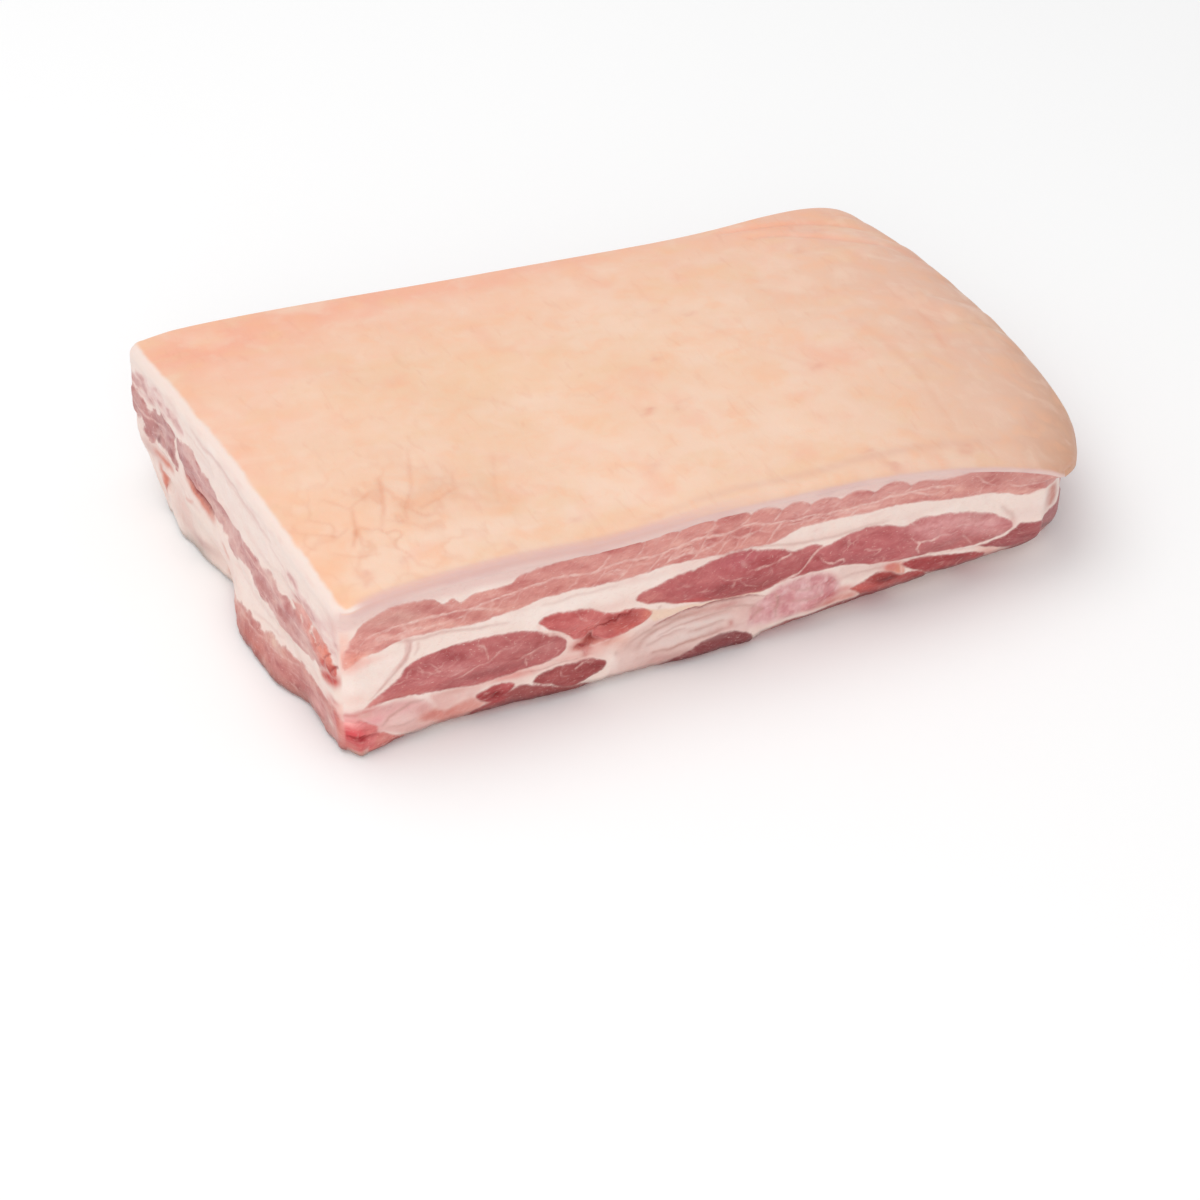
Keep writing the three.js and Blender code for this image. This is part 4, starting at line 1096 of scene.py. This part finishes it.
# Upper cap, hidden under the rind.
COVER_RINGS = 9
cover_triangles, cover_sizes = halving_cap(ring_size, COVER_RINGS, (1, 2, 3, 4, 5, 6))
cover_a, cover_b = shrunk_rings(ring_a, ring_b, cover_sizes)
cx, cy, cz, _ = below_top(cover_a, cover_b, RIND)
cover_part = blank_tissue(len(cx))
cover_part["grain"] = np.stack([cx, cy, cx * 0 + 300], 1)

# Join the sides and both caps: the first ring of each cap is a row of the sides.
side_count = len(side_points)
under_points = np.stack([ux, uy, uz], 1)[ring_size:]
cover_points = np.stack([cx, cy, cz], 1)[ring_size:]
under_numbers = np.concatenate([np.arange(ring_size), side_count + np.arange(len(under_points))])
cover_numbers = np.concatenate([ROWS * ring_size + np.arange(ring_size),
                                side_count + len(under_points) + np.arange(len(cover_points))])
meat_points = np.concatenate([side_points, under_points, cover_points])
meat_triangles = np.concatenate([side_triangles, under_numbers[under_triangles][:, ::-1],
                                 cover_numbers[cover_triangles]])
meat_tissue = {name: np.concatenate([values, under_part[name][ring_size:], cover_part[name][ring_size:]])
               for name, values in tissue.items()}
meat = make_piece("pork_belly_meat", meat_points, meat_triangles, meat_tissue)


def add(tree, kind, settings=None, **inputs):
    """Adds a node. settings are its properties; inputs are values or sockets, by name with _ for
    a space, or by number as i0, i1."""
    made = tree.nodes.new(kind)
    for key, value in (settings or {}).items():
        setattr(made, key, value)
    for key, value in inputs.items():
        slot = made.inputs[int(key[1:])] if key[1:].isdigit() else made.inputs[key.replace("_", " ")]
        if isinstance(value, bpy.types.NodeSocket):
            tree.links.new(value, slot)
        elif isinstance(value, np.ndarray):
            slot.default_value = (*value.tolist(), 1.0)
        else:
            slot.default_value = value
    return made


def blended(tree, share, first, second, way="MIX"):
    """Colour first where share is 0, second where it is 1."""
    return add(tree, "ShaderNodeMix", {"data_type": "RGBA", "blend_type": way}, i0=share, i6=first,
               i7=tint(second)).outputs[2]


def worked(tree, operation, first, second=0.0, third=0.0):
    """One step of arithmetic."""
    return add(tree, "ShaderNodeMath", {"operation": operation}, i0=first, i1=second, i2=third).outputs[0]


def stepped(tree, value, start, end, low=0.0, high=1.0):
    """Smooth step from low at start to high at end."""
    return add(tree, "ShaderNodeMapRange", {"interpolation_type": "SMOOTHSTEP"}, Value=value,
               From_Min=start, From_Max=end, To_Min=low, To_Max=high).outputs[0]


def noise(tree, place, scale, detail=3.0, distortion=0.0):
    """Soft random value about 0.5."""
    return add(tree, "ShaderNodeTexNoise", Vector=place, Scale=scale, Detail=detail,
               Distortion=distortion).outputs["Fac"]


def scaled(tree, vector, factors):
    """A place with each of its lengths multiplied."""
    return add(tree, "ShaderNodeVectorMath", {"operation": "MULTIPLY"}, i0=vector, i1=factors).outputs[0]


def stored(tree, name, output="Fac"):
    """A value, colour or vector stored on the vertices."""
    return add(tree, "ShaderNodeAttribute", {"attribute_name": name}).outputs[output]


def roughened(tree, name, random, amount):
    """A stored value plus (random - 0.5) * amount, which frays the edges drawn from it."""
    return worked(tree, "MULTIPLY_ADD", worked(tree, "SUBTRACT", random, 0.5), amount, stored(tree, name))


# Marbling: thin pale lines between stretched bundles of fibres, broken up so that only some
# of them show, and the fibres' own faint streaks.
marbling = bpy.data.node_groups.new("marbling", "ShaderNodeTree")
for label, preset in (("Length", 12.0), ("Height", 4.5), ("Slant", 0.0), ("Line", 0.06), ("Shown", 0.5)):
    socket = marbling.interface.new_socket(label, in_out="INPUT", socket_type="NodeSocketFloat")
    socket.default_value = preset
for label in ("Lines", "Fibres"):
    marbling.interface.new_socket(label, in_out="OUTPUT", socket_type="NodeSocketFloat")
g_in = marbling.nodes.new("NodeGroupInput")
g_out = marbling.nodes.new("NodeGroupOutput")
g_grain = stored(marbling, "grain", "Vector")
g_wave = add(marbling, "ShaderNodeTexNoise", Vector=g_grain, Scale=0.2, Detail=4.0).outputs["Color"]
g_wave = add(marbling, "ShaderNodeVectorMath", {"operation": "MULTIPLY_ADD"}, i0=g_wave, i1=(7.0, 4.5, 0.0),
             i2=g_grain).outputs[0]
g_parts = add(marbling, "ShaderNodeSeparateXYZ", Vector=g_wave)
g_across = worked(marbling, "MULTIPLY_ADD", g_parts.outputs[0], g_in.outputs["Slant"], g_parts.outputs[1])
g_cell = add(marbling, "ShaderNodeCombineXYZ",
             X=worked(marbling, "DIVIDE", g_parts.outputs[0], g_in.outputs["Length"]),
             Y=worked(marbling, "DIVIDE", g_across, g_in.outputs["Height"]),
             Z=worked(marbling, "DIVIDE", g_parts.outputs[2], 10.0)).outputs[0]
g_edge = add(marbling, "ShaderNodeTexVoronoi", {"feature": "DISTANCE_TO_EDGE"}, Vector=g_cell,
             Scale=1.0).outputs["Distance"]
g_gate = worked(marbling, "ADD", noise(marbling, g_grain, 0.13, 2.0), g_in.outputs["Shown"])
g_gate = stepped(marbling, g_gate, 0.95, 1.15)
g_line = stepped(marbling, g_edge, 0.0, g_in.outputs["Line"], 1.0, 0.0)
marbling.links.new(worked(marbling, "MULTIPLY", g_line, g_gate), g_out.inputs["Lines"])
g_fibre_place = add(marbling, "ShaderNodeCombineXYZ",
                    X=worked(marbling, "MULTIPLY", g_parts.outputs[0], 0.22),
                    Y=worked(marbling, "MULTIPLY", g_across, 1.1), Z=g_parts.outputs[2]).outputs[0]
marbling.links.new(noise(marbling, g_fibre_place, 1.0, 3.0, 0.4), g_out.inputs["Fibres"])

# The finish of the cut meat. Lean is laid over fat where the stored depth, roughened along the
# grain, is above zero; seams, clefts and fine marbling come over both.
SEAM_PALE = (238, 200, 190)
# Painted highlight: small pale flecks on the lean that stand in for wet glints.
PAINTED_GLINT = (246, 226, 214)
# Painted shade in the clefts, dark red like the lean in them.
CLEFT_SHADE_RED = (146, 30, 28)
FIBRE_RED = (150, 66, 68)
RIPPLE_ROSE = np.array([0.86, 0.7, 0.68])        # multiplied in
# How far each kind of line covers the colour below it.
LINE_SHARES = {"marbling": 0.28, "seam": 0.88, "cleft": 0.8}
SCATTER = 0.0025               # how far light travels in the meat, in metres
BUMP = 0.0006                  # height of the finest bumps, in metres


def empty_finish(name):
    """A material without nodes."""
    finish = bpy.data.materials.new(name)
    finish.use_nodes = True
    finish.node_tree.nodes.clear()
    return finish


def moist_surface(tree, colour, roughness, relief, spread):
    """Ends a finish: moist, a little translucent, bumped by the relief. spread is how far red, green
    and blue light scatter in it."""
    bump = add(tree, "ShaderNodeBump", Strength=0.45, Distance=BUMP, Height=relief)
    surface = add(tree, "ShaderNodeBsdfPrincipled", Base_Color=colour, Roughness=roughness,
                  Normal=bump.outputs[0], Subsurface_Weight=0.1, Subsurface_Radius=spread,
                  Subsurface_Scale=SCATTER, Specular_IOR_Level=0.4)
    tree.links.new(surface.outputs[0], add(tree, "ShaderNodeOutputMaterial").inputs["Surface"])


cut = empty_finish("raw belly, cut")
t = cut.node_tree
place = add(t, "ShaderNodeTexCoord").outputs["Object"]
grain = stored(t, "grain", "Vector")
marble = add(t, "ShaderNodeGroup", {"node_tree": marbling}, Length=9.0, Height=4.2, Slant=-0.25,
             Line=0.1, Shown=0.42)
fibres = marble.outputs["Fibres"]
cloud = noise(t, place, 120.0, 3.0, 0.5)
fray = noise(t, scaled(t, grain, (0.45, 0.9, 1.0)), 1.0, 3.0, 0.4)
specks = noise(t, place, 1100.0, 2.0)
lean_depth = roughened(t, "lean", fray, 0.9)
lean = stepped(t, lean_depth, -0.45, 0.45)
deep = stepped(t, lean_depth, 0.0, 1.0)

flesh = blended(t, stepped(t, fibres, 0.45, 0.75, 0.0, 0.14), stored(t, "flesh", "Color"), FIBRE_RED)
flesh = blended(t, stepped(t, fibres, 0.5, 0.25, 0.0, 0.1), flesh, FAT_ROSY)
flesh = blended(t, worked(t, "MULTIPLY", marble.outputs["Lines"], LINE_SHARES["marbling"]), flesh, SEAM_PALE)
flesh = blended(t, stepped(t, deep, 1.0, 0.0, 0.0, 0.2), flesh, FAT_ROSY)
fat = blended(t, stepped(t, fibres, 0.45, 0.75, 0.0, 0.18), stored(t, "fat", "Color"), FAT_ROSY)
fat = blended(t, stepped(t, cloud, 0.55, 0.75, 0.0, 0.12), fat, FAT)
colour = blended(t, lean, fat, flesh)
broken = stepped(t, noise(t, grain, 0.45, 3.0), 0.36, 0.6, 0.5, 1.0)
seam = worked(t, "MULTIPLY", stepped(t, stored(t, "seam"), 0.12, 1.0), broken)
colour = blended(t, worked(t, "MULTIPLY", seam, LINE_SHARES["seam"]), colour, SEAM_PALE)
# the clefts are painted dark red: painted shade in the gaps
cleft = stepped(t, roughened(t, "cleft", fray, 0.4), 0.1, 1.0)
colour = blended(t, worked(t, "MULTIPLY", cleft, LINE_SHARES["cleft"]), colour, CLEFT_SHADE_RED)
# painted highlights: pale flecks laid on the lean as wet glints
painted_glints = stepped(t, noise(t, scaled(t, grain, (0.7, 2.0, 1.0)), 1.0, 2.0), 0.64, 0.74, 0.0, 0.3)
colour = blended(t, worked(t, "MULTIPLY", painted_glints, lean), colour, PAINTED_GLINT)
ripple = noise(t, scaled(t, grain, (0.5, 1.3, 1.0)), 1.0, 4.0, 0.8)
colour = blended(t, stepped(t, ripple, 0.55, 0.75, 0.0, 0.3), colour, RIPPLE_ROSE, "MULTIPLY")

height = worked(t, "MULTIPLY_ADD", fibres, 0.5, worked(t, "MULTIPLY", cloud, 0.7))
height = worked(t, "MULTIPLY_ADD", specks, 0.22, height)
roughness = worked(t, "ADD", stepped(t, cloud, 0.3, 0.7, 0.34, 0.5), worked(t, "MULTIPLY", lean, -0.05))
moist_surface(t, colour, roughness, height, (1.0, 0.4, 0.3))
meat.data.materials.append(cut)
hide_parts("pork_belly")
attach(meat, "root")

# ---- The rind -------------------------------------------------------------------
# The skin on top of the slab: 3 mm of pale, scalded and scraped pig skin, still grown
# to the back fat. It is cut with the meat on three sides and hangs over the right end.
STEPS_ALONG = 324
STEPS_ACROSS = 206
EDGE_STEPS = (0.17, 0.34, 0.5, 0.67, 0.84, 0.97, 1.0)     # rows of its cut edge, from the top down
RIND_ROWS = len(EDGE_STEPS)
TUCK = 0.5                     # how far its cut edge reaches down over the fat
PROUD = 0.06                   # how far the cut edge stands out

PEACH = (243, 202, 174)
CREAM = (245, 212, 190)
FLUSH = (244, 174, 147)
AMBER = (245, 187, 150)
HONEY = (240, 196, 158)
TAN = (230, 184, 162)
ROLL_TAN = (206, 152, 122)
CREASE = (226, 158, 126)
MARK = (222, 146, 122)
LILAC = (222, 180, 172)

# Shades of the skin: (x, y, reach in x, reach in y, colour, strength).
SKIN_SHADES = [
    (12, 178, 26, 16, FLUSH, 0.9), (48, 184, 34, 11, FLUSH, 0.75), (95, 186, 44, 8, FLUSH, 0.65),
    (150, 182, 50, 6, FLUSH, 0.45), (28, 150, 20, 18, FLUSH, 0.3), (252, 173, 28, 5, FLUSH, 0.55),
    (266, 160, 20, 5, FLUSH, 0.35), (212, 77, 8, 9, FLUSH, 0.5), (270, 98, 12, 20, FLUSH, 0.25),
    (18, 118, 14, 18, FLUSH, 0.3), (2, 100, 8, 30, FLUSH, 0.35), (2, 8, 9, 13, AMBER, 0.85),
    (3, 32, 9, 14, AMBER, 0.7), (18, 40, 13, 11, AMBER, 0.5), (3, 57, 8, 12, AMBER, 0.5),
    (22, 60, 16, 12, AMBER, 0.3), (40, 42, 9, 10, AMBER, 0.3), (98, 112, 28, 24, HONEY, 0.6),
    (96, 78, 16, 16, HONEY, 0.4), (64, 124, 20, 14, HONEY, 0.4), (73, 48, 8, 14, HONEY, 0.35),
    (150, 100, 24, 20, HONEY, 0.3), (50, 50, 12, 14, (226, 176, 146), 0.5),
    (72, 42, 8, 12, (228, 186, 158), 0.4), (69, 16, 14, 10, CREAM, 0.7), (110, 86, 18, 14, CREAM, 0.3),
    (34, 22, 9, 6, CREAM, 0.5), (105, 26, 24, 14, CREAM, 0.7), (52, 18, 10, 8, CREAM, 0.5),
    (150, 34, 20, 14, CREAM, 0.4), (215, 150, 30, 14, CREAM, 0.2), (230, 60, 14, 20, CREAM, 0.2)
]
# Fine creases of the skin, as routes with a half width and a strength.
SKIN_CREASES = [
    (0.6, [(40, 63), (35, 47), (29, 34)], 0.9), (0.7, [(25, 51), (21, 37), (17, 30)], 0.9),
    (0.5, [(56, 77), (48, 54), (41, 43), (38, 33)], 0.9), (0.6, [(62, 48), (54, 44), (46, 41)], 1.0),
    (0.35, [(82, 63), (76, 48), (71, 33)], 0.8), (0.5, [(6, 46), (15, 38), (20, 41)], 0.8),
    (0.45, [(18, 62), (24, 51), (34, 57)], 0.8), (0.35, [(30, 40), (38, 36), (44, 26)], 0.8),
    (0.35, [(10, 30), (16, 24), (24, 22)], 0.8), (0.35, [(62, 66), (64, 56), (60, 46)], 0.8),
    (0.2, [(186, 117), (197, 90), (212, 66)], 1.4), (0.25, [(241, 96), (245, 54), (239, 18)], 1.6),
    (0.2, [(262, 120), (268, 90), (262, 60)], 1.6), (0.25, [(120, 90), (128, 84), (138, 86)], 1.0),
    (0.3, [(90, 102), (98, 96), (104, 86)], 1.0), (0.25, [(150, 60), (154, 66), (162, 68)], 0.9),
]
# The tan line where the skin bends down to the cut along the front.
TAN_LINE = [
    (0.6, [(112, 6), (146, 8), (174, 7), (198, 10), (214, 11), (237, 12), (261, 12), (280, 13)], 2.4),
]
FOLDS = [
    (0.9, [(226, 178), (240, 176), (253, 174), (270, 172), (284, 166)], 1.8),
    (0.7, [(234, 169), (248, 165), (262, 158), (280, 151), (290, 148)], 2.0),
]
# Small reddish marks: (x, y, reach, strength).
MARKS = [
    (207, 3, 2.2, 0.8), (238, 8, 2.0, 0.6), (142, 65, 1.6, 0.7), (161, 97, 1.5, 0.5),
    (186, 122, 1.7, 0.5), (212, 69, 1.6, 0.6), (128, 32, 2.4, 0.35), (29, 16, 1.6, 0.5),
    (15, 14, 2.0, 0.5), (202, 13, 1.6, 0.5), (153, 62, 1.3, 0.4), (92, 16, 1.6, 0.4), (14, 10, 1.4, 0.4),
    (247, 150, 1.8, 0.4), (176, 130, 1.5, 0.3)
]


def gathered(share):
    """Even shares drawn together towards both ends: t - 0.09 sin(2 pi t)."""
    return share - 0.09 * np.sin(2 * np.pi * share)


def crackle(x, y):
    """Fine wrinkles of the skin near the left front corner: thin lines where a wandering noise
    crosses zero, only inside a soft oval."""
    lines = np.exp(-(fractal(x * 1.3, y * 0.8, 12, 3, 47) / 0.2) ** 2)
    return lines * spot(x, y, 34, 40, 34, 34)


CREASE_DEPTH = 0.26
WRINKLE_DEPTH = 0.18
FOLD_DEPTH = 0.9
WAVE = 18.0                    # length of a wave of the rolled down end


def skin_height(x, y):
    """Low hollows of the skin, less its creases, wrinkles and the folds at the far right corner,
    and shallow waves along the rolled down end: the 0.7th power of half sine waves."""
    hollows = 0.45 * unevenness(x, y, 34, 41) + 0.2 * fractal(x, y, 15, 2, 42)
    sunk = CREASE_DEPTH * line_mask(x, y, SKIN_CREASES) + WRINKLE_DEPTH * crackle(x, y)
    folded = FOLD_DEPTH * line_mask(x, y, FOLDS)
    ripples = (0.35 + 0.55 * smooth(y, 70, 120)) * unevenness(x * 0.3, y, 8, 48) * smooth(x, 235, 275)
    waves = np.abs(np.sin(np.pi * (y + 3 * unevenness(x, y, 30, 46)) / WAVE)) ** 0.7 - 0.7
    ripples = ripples + 1.3 * waves * smooth(x, 262, 292) * smooth(y, 55, 85)
    return hollows - sunk - folded + ripples


def skin_colour(x, y, drop):
    """Colours of the skin: peach, with cream, tan, flush and honey laid over it where random waves,
    shades, creases and marks say; drop is how far it has rolled down from the crest."""
    skin = lay(evenly(PEACH, len(x)), CREAM, smooth(fractal(x, y, 30, 4, 51), -0.2, 0.9) * 0.5)
    skin = lay(skin, TAN, smooth(x, 175, 300) * 0.75)
    skin = lay(skin, FLUSH, smooth(y, 120, 195) * 0.32)
    skin = add_shades(skin, x + 5 * fractal(x, y, 16, 3, 57), y + 4 * fractal(x, y, 16, 3, 58), SKIN_SHADES)
    skin = lay(skin, FLUSH, smooth(fractal(x, y * 0.8, 14, 4, 53), 0.1, 1.2) * 0.3)
    skin = lay(skin, HONEY, smooth(fractal(x * 0.7, y * 1.2, 13, 4, 55), 0.2, 1.2) * 0.4)
    skin = lay(skin, CREAM, smooth(fractal(x, y, 18, 4, 56), 0.1, 1.1) * 0.4)
    skin = lay(skin, TAN, line_mask(x, y, TAN_LINE))
    skin = lay(skin, CREASE, 0.7 * line_mask(x, y, SKIN_CREASES) + 0.42 * crackle(x, y))
    skin = lay(skin, FLUSH, 0.6 * line_mask(x, y, FOLDS))
    shift = 1.6 * fractal(x, y, 3.5, 2, 49)
    for px, py, reach, strength in MARKS:
        skin = lay(skin, MARK, 0.7 * strength * spot(x + shift, y + shift, px, py, 1.5 * reach, 1.2 * reach))
    return lay(skin, ROLL_TAN, smooth(drop, 5, 24) * 0.85)


def rolled_down(x, z):
    """How far the skin lies below the crest of the front, near the right end only."""
    return np.maximum(along(FRONT_CREST, x) - z, 0) * smooth(x, 240, 270)


def bent_over(x):
    """From 0 to 1 where the skin bends further and further down over the front."""
    return smooth(x, 110, 170)


# The top face.
steps_a = gathered(np.arange(STEPS_ALONG + 1) / STEPS_ALONG)
steps_b = gathered(np.arange(STEPS_ACROSS + 1) / STEPS_ACROSS)
grid_a, grid_b = [grid.ravel() for grid in np.meshgrid(steps_a, steps_b, indexing="ij")]
gx, gy, gz, _ = slab_point(grid_a, grid_b, np.ones(grid_a.size))
from_left = grid_a * LENGTH
from_front, from_back = grid_b * WIDTH, (1 - grid_b) * WIDTH
from_rim = np.minimum(inside_edge(grid_a, LENGTH), inside_edge(grid_b, WIDTH))
drop = rolled_down(gx, gz)
gz = gz + skin_height(gx, gy) * smooth(from_rim, 0, 8)
top_points = np.stack([gx, gy, gz], 1)
number = np.arange(grid_a.size).reshape(len(steps_a), len(steps_b))
top_triangles = halved_quads(number[:-1, :-1].ravel(), number[1:, :-1].ravel(), number[1:, 1:].ravel(),
                             number[:-1, 1:].ravel())
top_skin = skin_colour(gx, gy, drop)

# How surely a point of the top shows skin, not the white fat that is bared along the rim.
frayed = fractal(gx, gy, 6, 3, 59)
bared = mix(-0.5, -2.6, bent_over(gx))
shown = np.minimum(smooth(from_left + 0.5 * frayed, 0.2, 4.6),
                   smooth(from_front + 0.5 * frayed, bared, bared + 2.3))
shown = np.minimum(shown, smooth(from_back, -1, 0.5))
lilac = (np.exp(-((from_front - 0.8) / 2.2) ** 2) * smooth(from_left, 4, 14) * 0.75
         * (1 - 0.9 * bent_over(gx)))

# The cut edge, in rows that follow the rim downwards.
rim_numbers = np.concatenate([number[:-1, 0], number[-1, :-1], number[:0:-1, -1], number[0, :0:-1]])
rim_a, rim_b = grid_a[rim_numbers], grid_b[rim_numbers]
rim_size = len(rim_numbers)
edge_a, edge_b = np.tile(rim_a, RIND_ROWS), np.tile(rim_b, RIND_ROWS)
edge_share = np.repeat(EDGE_STEPS, rim_size)
ex, ey, ez, edge_top = below_top(edge_a, edge_b, edge_share * (RIND + TUCK))
edge_tissue = side_tissue(edge_a, edge_b, ex, ey, ez, edge_top)
on_roll = (edge_a == 1) * 1.0
ex = ex + PROUD * edge_share * (on_roll - (edge_a == 0))
ey = ey + PROUD * edge_share * ((edge_b == 1) * 1.0 - (edge_b == 0))
edge_points = np.stack([ex, ey, ez], 1)
rows = [rim_numbers] + [len(top_points) + step * rim_size + np.arange(rim_size) for step in range(RIND_ROWS)]
edge_triangles = [halved_quads(upper, lower, np.roll(lower, -1), np.roll(upper, -1))
                  for upper, lower in zip(rows[:-1], rows[1:])]

# The lining against the fat, hidden but for the overhang at the right end.
LINING_RINGS = 6
lining_triangles, lining_sizes = halving_cap(rim_size, LINING_RINGS, (1, 2))
lining_a, lining_b = shrunk_rings(rim_a, rim_b, lining_sizes)
lining_points = np.stack(below_top(lining_a, lining_b, RIND + TUCK)[:3], 1)[rim_size:]
count = len(lining_points)
lining_numbers = np.concatenate([rows[-1], len(top_points) + len(edge_points) + np.arange(count)])

rind_points = np.concatenate([top_points, edge_points, lining_points])
rind_triangles = np.concatenate([top_triangles, *edge_triangles, lining_numbers[lining_triangles][:, ::-1]])
edge_skin = skin_colour(ex, ey, rolled_down(ex, ez))
edge_shown = np.maximum(smooth(edge_share, 0.3 + 0.5 * bent_over(ex), 0.0) * (edge_a > 0),
                        on_roll * smooth(edge_share, 1.0, 0.7))
edge_lilac = (0.8 * smooth(edge_share, 0.9, 0.1) * (edge_b == 0) * smooth(ex, 3, 12)
              * (1 - 0.8 * bent_over(ex) * smooth(edge_share, 0.7, 0.2)))
top_fat = lay(evenly(FAT_BAND, len(top_points)), FAT, smooth(from_left, 14, 4))
rind_attributes = {
    "fat": np.concatenate([top_fat, edge_tissue["fat"], evenly(FAT_BAND, count)]),
    "skin": np.concatenate([top_skin, edge_skin, evenly(TAN, count)]),
    "shown": np.concatenate([shown, edge_shown, np.zeros(count)]),
    "lilac": np.concatenate([lilac, edge_lilac, np.zeros(count)]),
}
rind = make_piece("pork_belly_rind", rind_points, rind_triangles, rind_attributes)

skin = empty_finish("pig skin")
s = skin.node_tree
skin_place = add(s, "ShaderNodeTexCoord").outputs["Object"]
mottle = noise(s, skin_place, 90.0, 5.0, 0.4)
pores = noise(s, skin_place, 800.0, 2.0)
pulled = noise(s, scaled(s, skin_place, (260.0, 70.0, 120.0)), 1.0, 3.0, 0.6)
tone = blended(s, stepped(s, mottle, 0.48, 0.72, 0.0, 0.42), stored(s, "skin", "Color"), AMBER)
tone = blended(s, stepped(s, mottle, 0.5, 0.28, 0.0, 0.3), tone, CREAM)
tone = blended(s, stepped(s, pulled, 0.58, 0.74, 0.0, 0.16), tone, CREASE)
bare = stepped(s, roughened(s, "shown", mottle, 0.3), 0.1, 0.9)
tone = blended(s, bare, stored(s, "fat", "Color"), tone)
tone = blended(s, stored(s, "lilac"), tone, LILAC)
skin_relief = worked(s, "MULTIPLY_ADD", pores, 0.22, mottle)
skin_relief = worked(s, "MULTIPLY_ADD", pulled, 0.3, skin_relief)
moist_surface(s, tone, stepped(s, mottle, 0.3, 0.7, 0.4, 0.52), skin_relief, (1.0, 0.45, 0.3))
rind.data.materials.append(skin)
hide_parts("pork_belly")
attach(rind, "root")

# ---- Floor, light and camera -------------------------------------------------------
# A plain white studio: a pale floor, one large soft light over the slab, and an even
# surrounding light, so that the shadows stay faint.
FLOOR_REACH = 6.0
floor_mesh = bpy.data.meshes.new("floor")
floor_corners = [(FLOOR_REACH * x, FLOOR_REACH * y, 0) for x, y in ((-1, -1), (1, -1), (1, 1), (-1, 1))]
floor_mesh.from_pydata(floor_corners, [], [(0, 1, 2, 3)])
floor = bpy.data.objects.new("floor", floor_mesh)
bpy.context.scene.collection.objects.link(floor)
paper = bpy.data.materials.new("white paper")
paper.use_nodes = True
paper.node_tree.nodes["Principled BSDF"].inputs["Base Color"].default_value = (0.98, 0.98, 0.98, 1)
paper.node_tree.nodes["Principled BSDF"].inputs["Roughness"].default_value = 0.9
floor_mesh.materials.append(paper)

world = bpy.data.worlds.new("studio")
world.use_nodes = True
world.node_tree.nodes["Background"].inputs["Color"].default_value = (1, 1, 1, 1)
world.node_tree.nodes["Background"].inputs["Strength"].default_value = 0.68
bpy.context.scene.world = world


def softbox(name, position, aim, size, power):
    """A square light that faces its aim."""
    data = bpy.data.lights.new(name, "AREA")
    data.size = size
    data.energy = power
    lamp = bpy.data.objects.new(name, data)
    lamp.location = position
    lamp.rotation_euler = (Vector(aim) - Vector(position)).to_track_quat("-Z", "Y").to_euler()
    bpy.context.scene.collection.objects.link(lamp)


softbox("overhead", (-0.3, 0.35, 1.3), (0, 0, 0.03), 1.2, 6.5)
softbox("front", (-0.7, -1.2, 0.7), (0, 0, 0.03), 0.9, 5.5)

# The camera looks down at the left front corner from 1.2 m.
AZIMUTH = np.radians(-25)
ELEVATION = np.radians(35)
DISTANCE = 1.2
AIM = corner + np.array([89.4, -8.3, 43.3]) * 0.001
back = np.array([np.sin(AZIMUTH) * np.cos(ELEVATION), -np.cos(AZIMUTH) * np.cos(ELEVATION),
                 np.sin(ELEVATION)])
camera_data = bpy.data.cameras.new("camera")
camera_data.sensor_width = 36
camera_data.lens = 108
camera_data.clip_start = 0.05
camera_data.clip_end = 50
camera = bpy.data.objects.new("camera", camera_data)
camera.location = AIM + back * DISTANCE
camera.rotation_euler = Vector(-back).to_track_quat("-Z", "Y").to_euler()
bpy.context.scene.collection.objects.link(camera)
bpy.context.scene.camera = camera
bpy.context.scene.view_settings.view_transform = "Standard"
